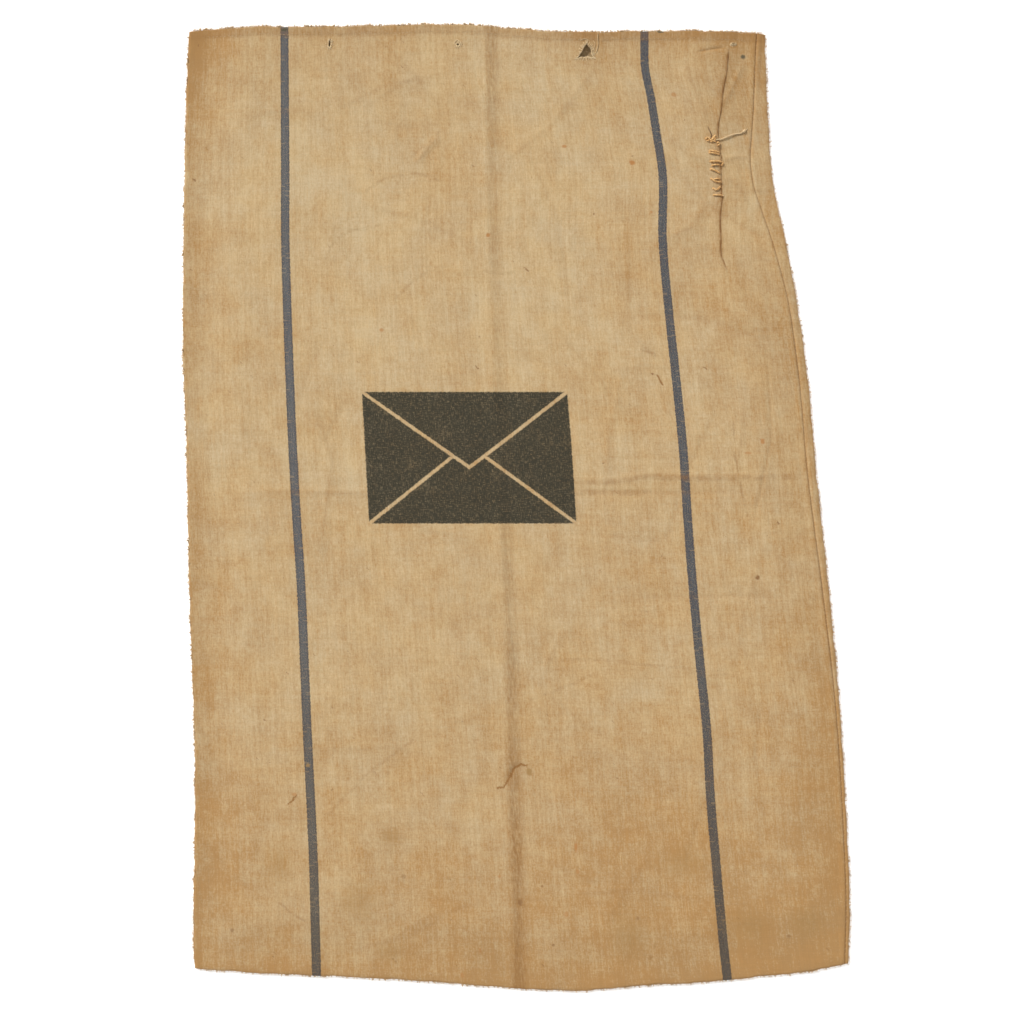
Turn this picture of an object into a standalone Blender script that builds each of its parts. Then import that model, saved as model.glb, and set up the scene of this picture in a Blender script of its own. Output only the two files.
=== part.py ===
"""A coarse linen mail sack lying flat: +Y points to the mouth, +Z up, origin under its middle, metres.

One strip of striped cloth is folded at the bottom and sewn up both sides. The cloth is split into
nodes along its folds: the lower half, the upper half beyond the crosswise storage crease, and the
front of the upper half, which lifts away from the back when the mouth is opened.
"""

import math

import bmesh
import bpy
import numpy as np

# ---- driving dimensions ----
CLOTH = 0.0009            # thickness of one layer of cloth
GAP = 0.0003              # clearance between pieces that touch
SIDE_GAP = 0.0006         # clearance along the curved sides, where facets leave the true line
LAY_GAP = 0.0007          # clearance under threads and strings that lie on the curved front
EDGE_SPACE = 0.0022       # space between the two layers at the sewn edges
CROWN = 0.0044            # how much further the front stands off the back in the middle
MOUTH_LIFT = 0.0022       # and how much more at the mouth
RAMP = 0.055              # distance over which the front rises from an edge
MOUTH_RAMP = 0.16         # and over which it rises further towards the mouth

CREASE_Y = 0.018          # the crosswise storage crease
CREASE_GAP = 0.0004       # half the split between the two halves
STRIP_WIDTH = 0.024       # front cloth between the crease and the line the front lifts from
CREASE_AXIS_Z = 0.0094    # the fold's axis, just above the front cloth

TURN = 0.012              # how far the cloth turns round a side edge or the bottom
ALLOWANCE = 0.0095        # width of the two selvedges sewn together inside a side seam
ALLOWANCE_SET = 0.0008    # from the seam thread to the allowance
ALLOWANCE_THICK = 0.0016  # both plies
HEM = 0.008               # depth of the turned hem at the mouth
HEM_STITCH = 0.0075       # distance from the mouth's edge to the hem's stitches
HEM_INSET = 0.020         # the hems stop short of the side seams' doubled selvedges
SEAM_THREAD_R = 0.0004
HEM_THREAD_R = 0.0003

EYELET_R = 0.0032         # centre of the whipped thread ring
EYELET_THREAD_R = 0.0008
EYELET_HOLE_R = EYELET_R + EYELET_THREAD_R + GAP
EYELETS = ((-0.193, 0.480), (-0.063, 0.480), (0.072, 0.474), (0.226, 0.477))

REPAIR_CORD_R = 0.0010
REPAIR_X = 0.206          # the darn's centre line
REPAIR_TOP_Y = 0.371
REPAIR_PITCH = 0.0105     # from one pair of stitches to the next
REPAIR_TURNS = 5
REPAIR_SWING = 0.0055     # half the darn's width
KNOT_AT = (0.1995, 0.3812)
KNOT_SIZE = (0.0038, 0.0030, 0.0016)
TAIL_R = 0.0008
TAIL_ROUTE = ((0.2048, 0.3800), (0.2085, 0.3810), (0.2122, 0.3814), (0.2184, 0.3843),
              (0.2255, 0.3868), (0.2318, 0.3877), (0.2344, 0.3893))
TAIL_KNOT_R = 0.0017

# ---- facets ----
LOWER_ROWS = 14
UPPER_ROWS = 18
ALLOWANCE_ROWS = 22       # along the upper half, where the right seam bends most
FRONT_COLUMNS = 20
LIP_COLUMNS, LIP_ROWS = 28, 17
BACK_COLUMNS = 22
TURN_FACETS = 10          # round a turned edge
TURN_LEG = 0.2            # share of those facets on each flat leg of the turn
HEM_COLUMNS = 20
HEM_THREAD_POINTS = 26
HOLE_SIDES = 16
RING_SIDES = (14, 6)      # round an eyelet and round its thread
DARN_POINTS = 12          # for each turn of the darning
TAIL_POINTS = 12
BALL_SIDES = (10, 6)

# ---- the outline, each edge as (along, across) points ----
LEFT_EDGE = ((-0.477, -0.3320), (-0.455, -0.3348), (-0.290, -0.3330), (-0.083, -0.3390),
             (0.083, -0.3425), (0.166, -0.3455), (0.331, -0.3441), (0.455, -0.3410),
             (0.494, -0.3390))
RIGHT_EDGE = ((-0.470, 0.3440), (-0.414, 0.3452), (-0.331, 0.3421), (-0.207, 0.3348),
              (-0.083, 0.3234), (0.041, 0.3100), (0.124, 0.3027), (0.207, 0.2914),
              (0.290, 0.2758), (0.331, 0.2665), (0.373, 0.2624), (0.455, 0.2582),
              (0.494, 0.2575))
BOTTOM_EDGE = ((-0.332, -0.4770), (-0.276, -0.4813), (-0.183, -0.4854), (-0.090, -0.4906),
               (0.004, -0.4978), (0.066, -0.5000), (0.128, -0.4947), (0.190, -0.4916),
               (0.252, -0.4854), (0.314, -0.4782), (0.344, -0.4710))
MOUTH_EDGE = ((-0.339, 0.4937), (-0.307, 0.4968), (-0.245, 0.5000), (-0.152, 0.4989),
              (-0.069, 0.5000), (0.004, 0.4958), (0.066, 0.4937), (0.128, 0.4947),
              (0.190, 0.4958), (0.257, 0.4937))
# how far the right seam has rolled onto the front, from the edge
SEAM_ROLL = ((-0.480, 0.0036), (-0.220, 0.0038), (0.070, 0.0090), (0.200, 0.0085),
             (0.260, 0.0120), (0.310, 0.0175), (0.350, 0.0212), (0.410, 0.0145),
             (0.494, 0.0083))

BOTTOM_CORNER_Y = -0.470   # where the side edges meet the bottom
MOUTH_CORNER_Y = 0.490     # and the mouth
SEAM_END = 0.001           # the side seams stop this far inside the mouth

BACK_MID = CLOTH / 2
FRONT_EDGE_MID = CLOTH + EDGE_SPACE + CLOTH / 2
BEND_R = (FRONT_EDGE_MID - BACK_MID) / 2
HINGE_Y = CREASE_Y + STRIP_WIDTH

MATERIALS = {
    "linen": ((0.60, 0.46, 0.28), 0.95),
    "linen_inside": ((0.50, 0.38, 0.23), 0.95),
    "sewing_thread": ((0.42, 0.31, 0.18), 0.85),
    "eyelet_thread": ((0.78, 0.70, 0.52), 0.85),
    "repair_string": ((0.68, 0.40, 0.16), 0.80),
    "tail_string": ((0.80, 0.68, 0.46), 0.85),
}


# ---- helpers ----
def through(points):
    """A function that runs smoothly through the points, with no overshoot between them."""
    at = np.array([p[0] for p in points])
    value = np.array([p[1] for p in points])
    chord = np.diff(value) / np.diff(at)
    slope = np.concatenate(([chord[0]], (chord[:-1] + chord[1:]) / 2, [chord[-1]]))
    slope[1:-1][chord[:-1] * chord[1:] <= 0] = 0

    def read(t):
        t = min(max(t, at[0]), at[-1])
        k = min(int(np.searchsorted(at, t, side="right")) - 1, len(chord) - 1)
        step = at[k + 1] - at[k]
        s = (t - at[k]) / step
        return float(
            value[k] * (1 + 2 * s) * (1 - s) ** 2
            + slope[k] * step * s * (1 - s) ** 2
            + value[k + 1] * s * s * (3 - 2 * s)
            + slope[k + 1] * step * s * s * (s - 1)
        )

    return read


left_edge = through(LEFT_EDGE)
right_edge = through(RIGHT_EDGE)
bottom_edge = through(BOTTOM_EDGE)
mouth_edge = through(MOUTH_EDGE)
seam_roll = through(SEAM_ROLL)


def mix(low, high, share):
    return low + (high - low) * share


def smoothstep(t):
    t = min(max(t, 0.0), 1.0)
    return t * t * (3 - 2 * t)


def left_seam(y):
    """The left seam has rolled underneath, so the front cloth turns under as far as this."""
    return left_edge(y) + TURN


def groove(y):
    """The right seam's line on the front."""
    return right_edge(y) - seam_roll(y)


def front_height(x, y):
    """The middle of the front cloth's thickness."""
    from_side = min(x - left_seam(y), groove(y) - x)
    from_bottom = y - bottom_edge(x) - TURN
    rise = smoothstep(from_side / RAMP) * smoothstep(from_bottom / RAMP)
    at_mouth = smoothstep((y - mouth_edge(x) + MOUTH_RAMP) / MOUTH_RAMP)
    return FRONT_EDGE_MID + rise * (CROWN + MOUTH_LIFT * at_mouth)


def material(name):
    colour, roughness = MATERIALS[name]
    made = bpy.data.materials.get(name) or bpy.data.materials.new(name)
    made.use_nodes = True
    shader = made.node_tree.nodes["Principled BSDF"]
    shader.inputs["Base Color"].default_value = (*colour, 1.0)
    shader.inputs["Roughness"].default_value = roughness
    shader.inputs["Metallic"].default_value = 0.0
    return made


def attach(piece, parent):
    if parent:
        piece.parent = parent
        piece.matrix_parent_inverse = parent.matrix_world.inverted()


def add(collection, name, data, finish, parent=None):
    made = bpy.data.objects.new(name, data)
    collection.objects.link(made)
    if finish:
        data.materials.append(material(finish))
    attach(made, parent)
    return made


def sheet(collection, name, columns, rows, place, finish="linen", thickness=CLOTH, parent=None):
    """Cloth of even thickness about the surface place(a, b), with a and b from 0 to 1."""
    bm = bmesh.new()
    bmesh.ops.create_grid(bm, x_segments=columns, y_segments=rows, size=0.5)
    for vert in bm.verts:
        vert.co = place(vert.co.x + 0.5, vert.co.y + 0.5)
    mesh = bpy.data.meshes.new(name)
    bm.to_mesh(mesh)
    bm.free()
    made = add(collection, name, mesh, finish, parent)
    solid = made.modifiers.new("thickness", "SOLIDIFY")
    solid.thickness = thickness
    solid.offset = 0.0
    solid.use_even_offset = True
    return made


def tube(collection, name, points, radius, finish, parent=None):
    """A round thread or string with closed ends along the points."""
    curve = bpy.data.curves.new(name, "CURVE")
    curve.dimensions = "3D"
    curve.bevel_depth = radius
    curve.bevel_resolution = 2 if radius > SEAM_THREAD_R else 1
    curve.use_fill_caps = True
    spline = curve.splines.new("POLY")
    spline.points.add(len(points) - 1)
    for point, co in zip(spline.points, points):
        point.co = (*co, 1.0)
    return add(collection, name, curve, finish, parent)


def panel(left, right, low, high, height):
    """place(a, b) for cloth between two side lines and two ends, with narrower facets at the sides."""

    def place(a, b):
        a = (1 - math.cos(math.pi * a)) / 2
        y = mix(low(0.0), high(0.0), b)
        x = mix(left(y), right(y), a)
        y = mix(low(x), high(x), b)
        x = mix(left(y), right(y), a)
        return x, y, height(x, y)

    return place


def level(z):
    return lambda x, y: z


def line(value):
    return lambda x: value


LOWER_END = line(CREASE_Y - CREASE_GAP)
UPPER_START = line(CREASE_Y + CREASE_GAP)


def shifted(edge, distance):
    return lambda t: edge(t) + distance


# (name, lower end, upper end, rows of facets)
HALVES = (
    ("lower", shifted(bottom_edge, TURN + SIDE_GAP), LOWER_END, LOWER_ROWS),
    ("upper", UPPER_START, mouth_edge, UPPER_ROWS),
)


def turn_profile(lower_leg, upper_leg):
    """(distance in from the edge, height) round a turned edge, from lower leg to upper leg."""
    bend_end = BEND_R + CLOTH / 2
    low_run = max(lower_leg - bend_end, 0.0)
    high_run = max(upper_leg - bend_end, 0.0)

    def read(a):
        if a < TURN_LEG:
            return bend_end + low_run * (1 - a / TURN_LEG), BACK_MID
        if a > 1 - TURN_LEG:
            return bend_end + high_run * (1 - (1 - a) / TURN_LEG), FRONT_EDGE_MID
        angle = math.pi * (a - TURN_LEG) / (1 - 2 * TURN_LEG)
        return bend_end - BEND_R * math.sin(angle), BACK_MID + BEND_R * (1 - math.cos(angle))

    return read


def outline(place, columns, rows):
    """The points round a panel: along its lower end, up its right side, back along the top, down."""
    steps = [(i / columns, 0.0) for i in range(columns)]
    steps += [(1.0, j / rows) for j in range(rows)]
    steps += [(1 - i / columns, 1.0) for i in range(columns)]
    steps += [(0.0, 1 - j / rows) for j in range(rows)]
    return [place(a, b)[:2] for a, b in steps]


def flat_cloth(collection, name, loops, parent):
    """A flat layer of cloth inside the first loop, with a hole inside each other loop."""
    curve = bpy.data.curves.new(name, "CURVE")
    curve.dimensions = "2D"
    curve.fill_mode = "BOTH"
    curve.extrude = CLOTH / 2
    for loop in loops:
        spline = curve.splines.new("POLY")
        spline.points.add(len(loop) - 1)
        spline.use_cyclic_u = True
        for point, (x, y) in zip(spline.points, loop):
            point.co = (x, y, 0.0, 1.0)
    made = add(collection, name, curve, "linen")
    made.location.z = BACK_MID
    bpy.context.view_layer.update()
    attach(made, parent)


# ---- the cloth ----
def back_panels(parts, parents):
    for half, low, high, rows in HALVES:
        place = panel(shifted(left_seam, SIDE_GAP), shifted(right_edge, -TURN - SIDE_GAP),
                      low, high, level(BACK_MID))
        loops = [outline(place, BACK_COLUMNS, rows)]
        if half == "upper":
            loops += [ring_points(x, y, EYELET_HOLE_R, HOLE_SIDES) for x, y in EYELETS]
        flat_cloth(parts, f"back_{half}", loops, parents[half])


def front_panels(parts, cutters, fold, lip):
    """The lower front, the strip along the crease, and the upper front that lifts at the mouth."""
    sides = shifted(left_seam, SIDE_GAP), shifted(groove, -SIDE_GAP / 2)
    bottom = shifted(bottom_edge, TURN + SIDE_GAP)
    sheet(parts, "front_lower", FRONT_COLUMNS, LOWER_ROWS,
          panel(*sides, bottom, LOWER_END, front_height))
    sheet(parts, "front_crease_strip", FRONT_COLUMNS, 1,
          panel(*sides, UPPER_START, line(HINGE_Y - GAP), front_height), parent=fold)
    upper = sheet(parts, "front_upper", LIP_COLUMNS, LIP_ROWS,
                  panel(*sides, line(HINGE_Y + GAP), mouth_edge, front_height), parent=lip)
    cut(upper, eyelet_cutter(cutters, "front_eyelet_holes", FRONT_EDGE_MID + CROWN))


def side_turns(parts, parents):
    """The cloth that wraps round each side edge: front cloth on the left, back cloth on the right."""
    for half, low, high, rows in HALVES:
        def left(a, b):
            reach, z = turn_profile(TURN, TURN)(a)
            y = mix(low(LEFT_EDGE[0][1]), high(LEFT_EDGE[-1][1]), b)
            return left_edge(y) + reach, y, z

        def right(a, b):
            y = mix(low(RIGHT_EDGE[0][1]), high(RIGHT_EDGE[-1][1]), b)
            reach, z = turn_profile(TURN, seam_roll(y) - SIDE_GAP / 2)(a)
            return right_edge(y) - reach, y, z

        for side, place in (("left", left), ("right", right)):
            sheet(parts, f"{side}_edge_turn_{half}", TURN_FACETS, rows, place, parent=parents[half])


def bottom_fold(parts):
    """The cloth runs unbroken from the front, round the bottom, to the back."""

    def place(a, b):
        reach, z = turn_profile(TURN, TURN)(b)
        x = mix(left_edge(BOTTOM_CORNER_Y), right_edge(BOTTOM_CORNER_Y), a)
        return x, bottom_edge(x) + reach, z

    sheet(parts, "bottom_fold", BACK_COLUMNS, TURN_FACETS, place)


def side_seams(parts, parents):
    """Inside each side: the two selvedges as one doubled strip, and the thread that sews them."""
    mid = CLOTH + EDGE_SPACE / 2
    bottom = shifted(bottom_edge, TURN + 2 * SIDE_GAP)
    mouth = shifted(mouth_edge, -SEAM_END)
    for half, low, high, rows in (("lower", bottom, LOWER_END, LOWER_ROWS),
                                  ("upper", UPPER_START, mouth, ALLOWANCE_ROWS)):
        for side, seam, way in (("left", left_seam, 1), ("right", groove, -1)):
            edges = [shifted(seam, way * ALLOWANCE_SET),
                     shifted(seam, way * (ALLOWANCE_SET + ALLOWANCE))]
            sheet(parts, f"{side}_seam_allowance_{half}", 1, rows,
                  panel(*edges[::way], low, high, level(mid)), "linen_inside", ALLOWANCE_THICK,
                  parents[half])
            sewn = panel(seam, seam, low, high, level(mid))
            points = [sewn(0, j / rows) for j in range(rows + 1)]
            tube(parts, f"{side}_seam_thread_{half}", points, SEAM_THREAD_R, "sewing_thread",
                 parents[half])


def mouth_hems(parts, fold, lip):
    """The turned hem inside each lip of the mouth, and its row of stitches."""
    start = left_seam(MOUTH_CORNER_Y) + HEM_INSET
    end = groove(MOUTH_CORNER_Y) - HEM_INSET
    layer = CLOTH + GAP
    back_top = CLOTH + layer
    lips = (
        ("front", lambda x, y: front_height(x, y) - layer,
         lambda x, y: front_height(x, y) + CLOTH / 2 + LAY_GAP + HEM_THREAD_R, lip),
        ("back", level(BACK_MID + layer), level(back_top + GAP + HEM_THREAD_R), fold),
    )
    for side, hem_height, thread_height, parent in lips:
        hem = panel(line(start), line(end), shifted(mouth_edge, -HEM - GAP),
                    shifted(mouth_edge, -GAP), hem_height)
        sheet(parts, f"{side}_mouth_hem", HEM_COLUMNS, 1, hem, "linen_inside", parent=parent)
        points = []
        for x in np.linspace(start, end, HEM_THREAD_POINTS):
            y = mouth_edge(x) - HEM_STITCH
            points.append((x, y, thread_height(x, y)))
        tube(parts, f"{side}_hem_thread", points, HEM_THREAD_R, "sewing_thread", parent)


# ---- the eyelets ----
def ring_points(x, y, radius, count):
    turns = [2 * math.pi * k / count for k in range(count)]
    return [(x + radius * math.cos(t), y + radius * math.sin(t)) for t in turns]


def eyelet_cutter(cutters, name, z):
    bm = bmesh.new()
    for x, y in EYELETS:
        made = bmesh.ops.create_cone(bm, cap_ends=True, segments=HOLE_SIDES, radius1=EYELET_HOLE_R,
                                     radius2=EYELET_HOLE_R, depth=8 * EYELET_R)
        bmesh.ops.translate(bm, verts=made["verts"], vec=(x, y, z))
    mesh = bpy.data.meshes.new(name)
    bm.to_mesh(mesh)
    bm.free()
    cutter = add(cutters, name, mesh, None)
    cutter.hide_render = True
    cutter.display_type = "WIRE"
    return cutter


def cut(piece, cutter):
    boolean = piece.modifiers.new("cut", "BOOLEAN")
    boolean.operation = "DIFFERENCE"
    boolean.solver = "EXACT"
    boolean.object = cutter


def eyelets(parts, fold, lip):
    """A ring of whipped thread in each hole along both lips."""
    for number, (x, y) in enumerate(EYELETS, 1):
        rings = (("front", front_height(x, y), lip), ("back", EYELET_THREAD_R, fold))
        for side, z, parent in rings:
            bpy.ops.mesh.primitive_torus_add(
                location=(x, y, z), major_radius=EYELET_R, minor_radius=EYELET_THREAD_R,
                major_segments=RING_SIDES[0], minor_segments=RING_SIDES[1],
            )
            ring = bpy.context.object
            ring.name = f"{side}_eyelet_{number}"
            for holder in list(ring.users_collection):
                holder.objects.unlink(ring)
            parts.objects.link(ring)
            ring.data.materials.append(material("eyelet_thread"))
            ring.data.shade_smooth()
            attach(ring, parent)


# ---- the repair ----
def on_front(x, y, clearance):
    return x, y, front_height(x, y) + CLOTH / 2 + LAY_GAP + clearance


def repair(parts, lip):
    """A tuck near the mouth darned with thick string: the stitches, their knot and a loose tail."""
    steps = DARN_POINTS * REPAIR_TURNS
    points = []
    for step in range(steps + 1):
        turns = step / steps * REPAIR_TURNS
        x = REPAIR_X - REPAIR_SWING * math.cos(2 * math.pi * turns)
        points.append(on_front(x, REPAIR_TOP_Y - REPAIR_PITCH * turns, REPAIR_CORD_R))
    tube(parts, "repair_stitches", points, REPAIR_CORD_R, "repair_string", lip)

    tail = tail_points()
    tube(parts, "repair_tail", tail, TAIL_R, "tail_string", lip)
    ball(parts, "repair_knot", KNOT_AT, KNOT_SIZE, "repair_string", lip)
    (past_x, past_y, _), (end_x, end_y, _) = tail[-2:]
    beyond = (TAIL_KNOT_R + GAP) / math.hypot(end_x - past_x, end_y - past_y)
    knot = (mix(past_x, end_x, 1 + beyond), mix(past_y, end_y, 1 + beyond))
    ball(parts, "repair_tail_knot", knot, (TAIL_KNOT_R,) * 3, "tail_string", lip)


def tail_points():
    """The tail's centre line: a smooth curve through its route."""
    route = np.array(TAIL_ROUTE)
    t = np.arange(len(route))
    along_x = through(list(zip(t, route[:, 0])))
    along_y = through(list(zip(t, route[:, 1])))
    places = np.linspace(0, len(route) - 1, TAIL_POINTS)
    return [on_front(along_x(s), along_y(s), TAIL_R) for s in places]


def ball(parts, name, at, size, finish, parent):
    bm = bmesh.new()
    bmesh.ops.create_uvsphere(bm, u_segments=BALL_SIDES[0], v_segments=BALL_SIDES[1], radius=1.0)
    bmesh.ops.scale(bm, vec=size, verts=bm.verts)
    bmesh.ops.translate(bm, vec=on_front(*at, size[2]), verts=bm.verts)
    mesh = bpy.data.meshes.new(name)
    bm.to_mesh(mesh)
    bm.free()
    mesh.shade_smooth()
    return add(parts, name, mesh, finish, parent)


# ---- assembly ----
def clear_scene():
    for old in list(bpy.data.objects):
        bpy.data.objects.remove(old, do_unlink=True)


def collection(name):
    made = bpy.data.collections.new(name)
    bpy.context.scene.collection.children.link(made)
    return made


def axis(parts, name, at, parent):
    """An empty that marks a joint and carries the pieces that move with it."""
    made = add(parts, name, None, None, parent)
    made.location = at
    bpy.context.view_layer.update()
    return made


def main():
    clear_scene()
    parts = collection("mail_sack")
    cutters = collection("cutters")

    fold = axis(parts, "storage_fold_axis", (0.0, CREASE_Y, CREASE_AXIS_Z), None)
    lip = axis(parts, "mouth_opening_axis", (0.0, HINGE_Y, FRONT_EDGE_MID + CROWN), fold)
    parents = {"lower": None, "upper": fold}

    back_panels(parts, parents)
    front_panels(parts, cutters, fold, lip)
    side_turns(parts, parents)
    bottom_fold(parts)
    side_seams(parts, parents)
    mouth_hems(parts, fold, lip)
    eyelets(parts, fold, lip)
    repair(parts, lip)


main()
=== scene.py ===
"""The look of the mail sack: striped linen, seams, stitches, eyelets, a darned tuck and wear.

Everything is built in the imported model's frame, in metres: +Y points to the mouth and +Z up.
"""

import math

import bpy
import numpy as np
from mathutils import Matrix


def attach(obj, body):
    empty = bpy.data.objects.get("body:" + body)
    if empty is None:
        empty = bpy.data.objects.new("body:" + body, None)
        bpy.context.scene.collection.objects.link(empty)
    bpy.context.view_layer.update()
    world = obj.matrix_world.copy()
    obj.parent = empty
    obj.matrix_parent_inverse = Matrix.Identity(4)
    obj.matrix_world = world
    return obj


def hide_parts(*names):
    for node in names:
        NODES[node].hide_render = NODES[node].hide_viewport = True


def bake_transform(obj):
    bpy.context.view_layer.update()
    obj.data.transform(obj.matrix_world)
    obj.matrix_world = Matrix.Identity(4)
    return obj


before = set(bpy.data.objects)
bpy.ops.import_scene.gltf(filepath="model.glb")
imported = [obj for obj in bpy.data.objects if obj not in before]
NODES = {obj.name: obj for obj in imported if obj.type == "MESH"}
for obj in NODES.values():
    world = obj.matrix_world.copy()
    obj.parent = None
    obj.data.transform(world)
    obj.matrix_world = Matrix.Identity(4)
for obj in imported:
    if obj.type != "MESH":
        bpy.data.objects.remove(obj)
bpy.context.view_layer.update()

# ---- sizes ----
HALF = 0.00045             # half the thickness of one layer of cloth
BACK_MID = HALF            # middle of the back cloth, which lies on the floor
FRONT_MID = 0.00355        # middle of the front cloth at the sewn edges
EQUATOR = 0.002           # height at which front and back meet round the edge
ROLL = 0.0026              # how far in from the edge the cloth has turned over
CROWN = 0.0044             # how far the front stands up in its middle
MOUTH_LIFT = 0.0022        # and how much further at the mouth
RAMP = 0.055               # width over which it rises from the edges
MOUTH_RAMP = 0.16
TURN = 0.012               # how far the left seam has rolled underneath
HINGE_Y = 0.042            # where the front of the upper half lifts from
FOLD_LOW, FOLD_HIGH = 0.014, 0.038    # where the storage fold bends
HEM = 0.008                # width of the turned hem
HEM_ROLL = 0.00095         # radius of its roll
HEM_ROLL_SIDE = 0.0005     # and close to the sewn sides
FINE = 0.0008              # mesh spacing round the eyelets and the tuck
COARSE = 0.003
BACK_SHIFT = 3.0           # the back's place on the bolt of cloth, so that its marks differ
HEM_PITCH, SEAM_PITCH = 0.0041, 0.0056    # from stitch to stitch
HEM_ENDS = (-0.318, 0.236)
MOUTH_ENDS = (-0.335, 0.255)
EDGE_HAIRS, MOUTH_HAIRS, BACK_HAIRS = 1900, 3200, 1500    # fibre ends in each metre

WHITE = (1.0, 1.0, 1.0, 1.0)


# ---- camera, light and floor ----
def set_stage():
    scene = bpy.context.scene
    data = bpy.data.cameras.new("camera")
    camera = bpy.data.objects.new("camera", data)
    scene.collection.objects.link(camera)
    distance, width = 3.0, 1.0598
    camera.location = (-0.00466, -0.00414, distance + 0.005)
    data.lens = data.sensor_width * distance / width
    data.clip_start, data.clip_end = 0.05, 60.0
    scene.camera = camera
    scene.view_settings.view_transform = "Standard"

    world = bpy.data.worlds.new("studio")
    scene.world = world
    world.use_nodes = True
    background = world.node_tree.nodes["Background"]
    background.inputs["Color"].default_value = WHITE
    background.inputs["Strength"].default_value = 0.46

    sun = bpy.data.lights.new("key", "SUN")
    sun.energy = 2.85
    sun.angle = math.radians(14)
    sun.color = (1.0, 0.985, 0.96)
    key = bpy.data.objects.new("key", sun)
    scene.collection.objects.link(key)
    key.rotation_euler = (math.radians(-38), math.radians(-40), 0.0)

    # a round floor whose rim sweeps up far behind the sack, so that low views have no horizon
    mesh = bpy.data.meshes.new("floor")
    steps, rim = 96, ((9.0, -0.0002), (10.2, 0.16), (11.2, 0.7), (11.8, 1.6), (12.0, 2.6))
    rings = [(reach * math.cos(k * math.tau / steps), reach * math.sin(k * math.tau / steps), z)
             for reach, z in rim for k in range(steps)]
    faces = [list(range(steps))]
    for start in range(0, steps * (len(rim) - 1), steps):
        for k in range(steps):
            a, b = start + k, start + (k + 1) % steps
            faces.append((a + steps, b + steps, b, a))
    mesh.from_pydata(rings, [], faces)
    floor = bpy.data.objects.new("floor", mesh)
    scene.collection.objects.link(floor)
    g = Graph("floor_paper")
    fine = g.noise(g.add("ShaderNodeTexCoord", out=3), 900.0, 2, 0.5)
    g.shader("Base Color", g.mix(fine, (0.93, 0.93, 0.93), (0.96, 0.96, 0.96)))
    g.shader("Roughness", g.fit(fine, 0.0, 1.0, 0.85, 0.95))
    g.shader("Emission Color", (1.0, 1.0, 1.0))
    g.shader("Emission Strength", 0.45)
    g.bump(fine, 0.00005, 0.3)
    mesh.materials.append(g.material)


# ---- material graphs ----
class Value:
    """A number, vector or colour inside a material."""

    def __init__(self, graph, socket):
        self.graph, self.socket = graph, socket

    def __add__(self, other):
        return self.graph.math("ADD", self, other)

    def __radd__(self, other):
        return self.graph.math("ADD", other, self)

    def __sub__(self, other):
        return self.graph.math("SUBTRACT", self, other)

    def __rsub__(self, other):
        return self.graph.math("SUBTRACT", other, self)

    def __mul__(self, other):
        return self.graph.math("MULTIPLY", self, other)

    def __truediv__(self, other):
        return self.graph.math("DIVIDE", self, other)

    def __abs__(self):
        return self.graph.math("ABSOLUTE", self)


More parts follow.
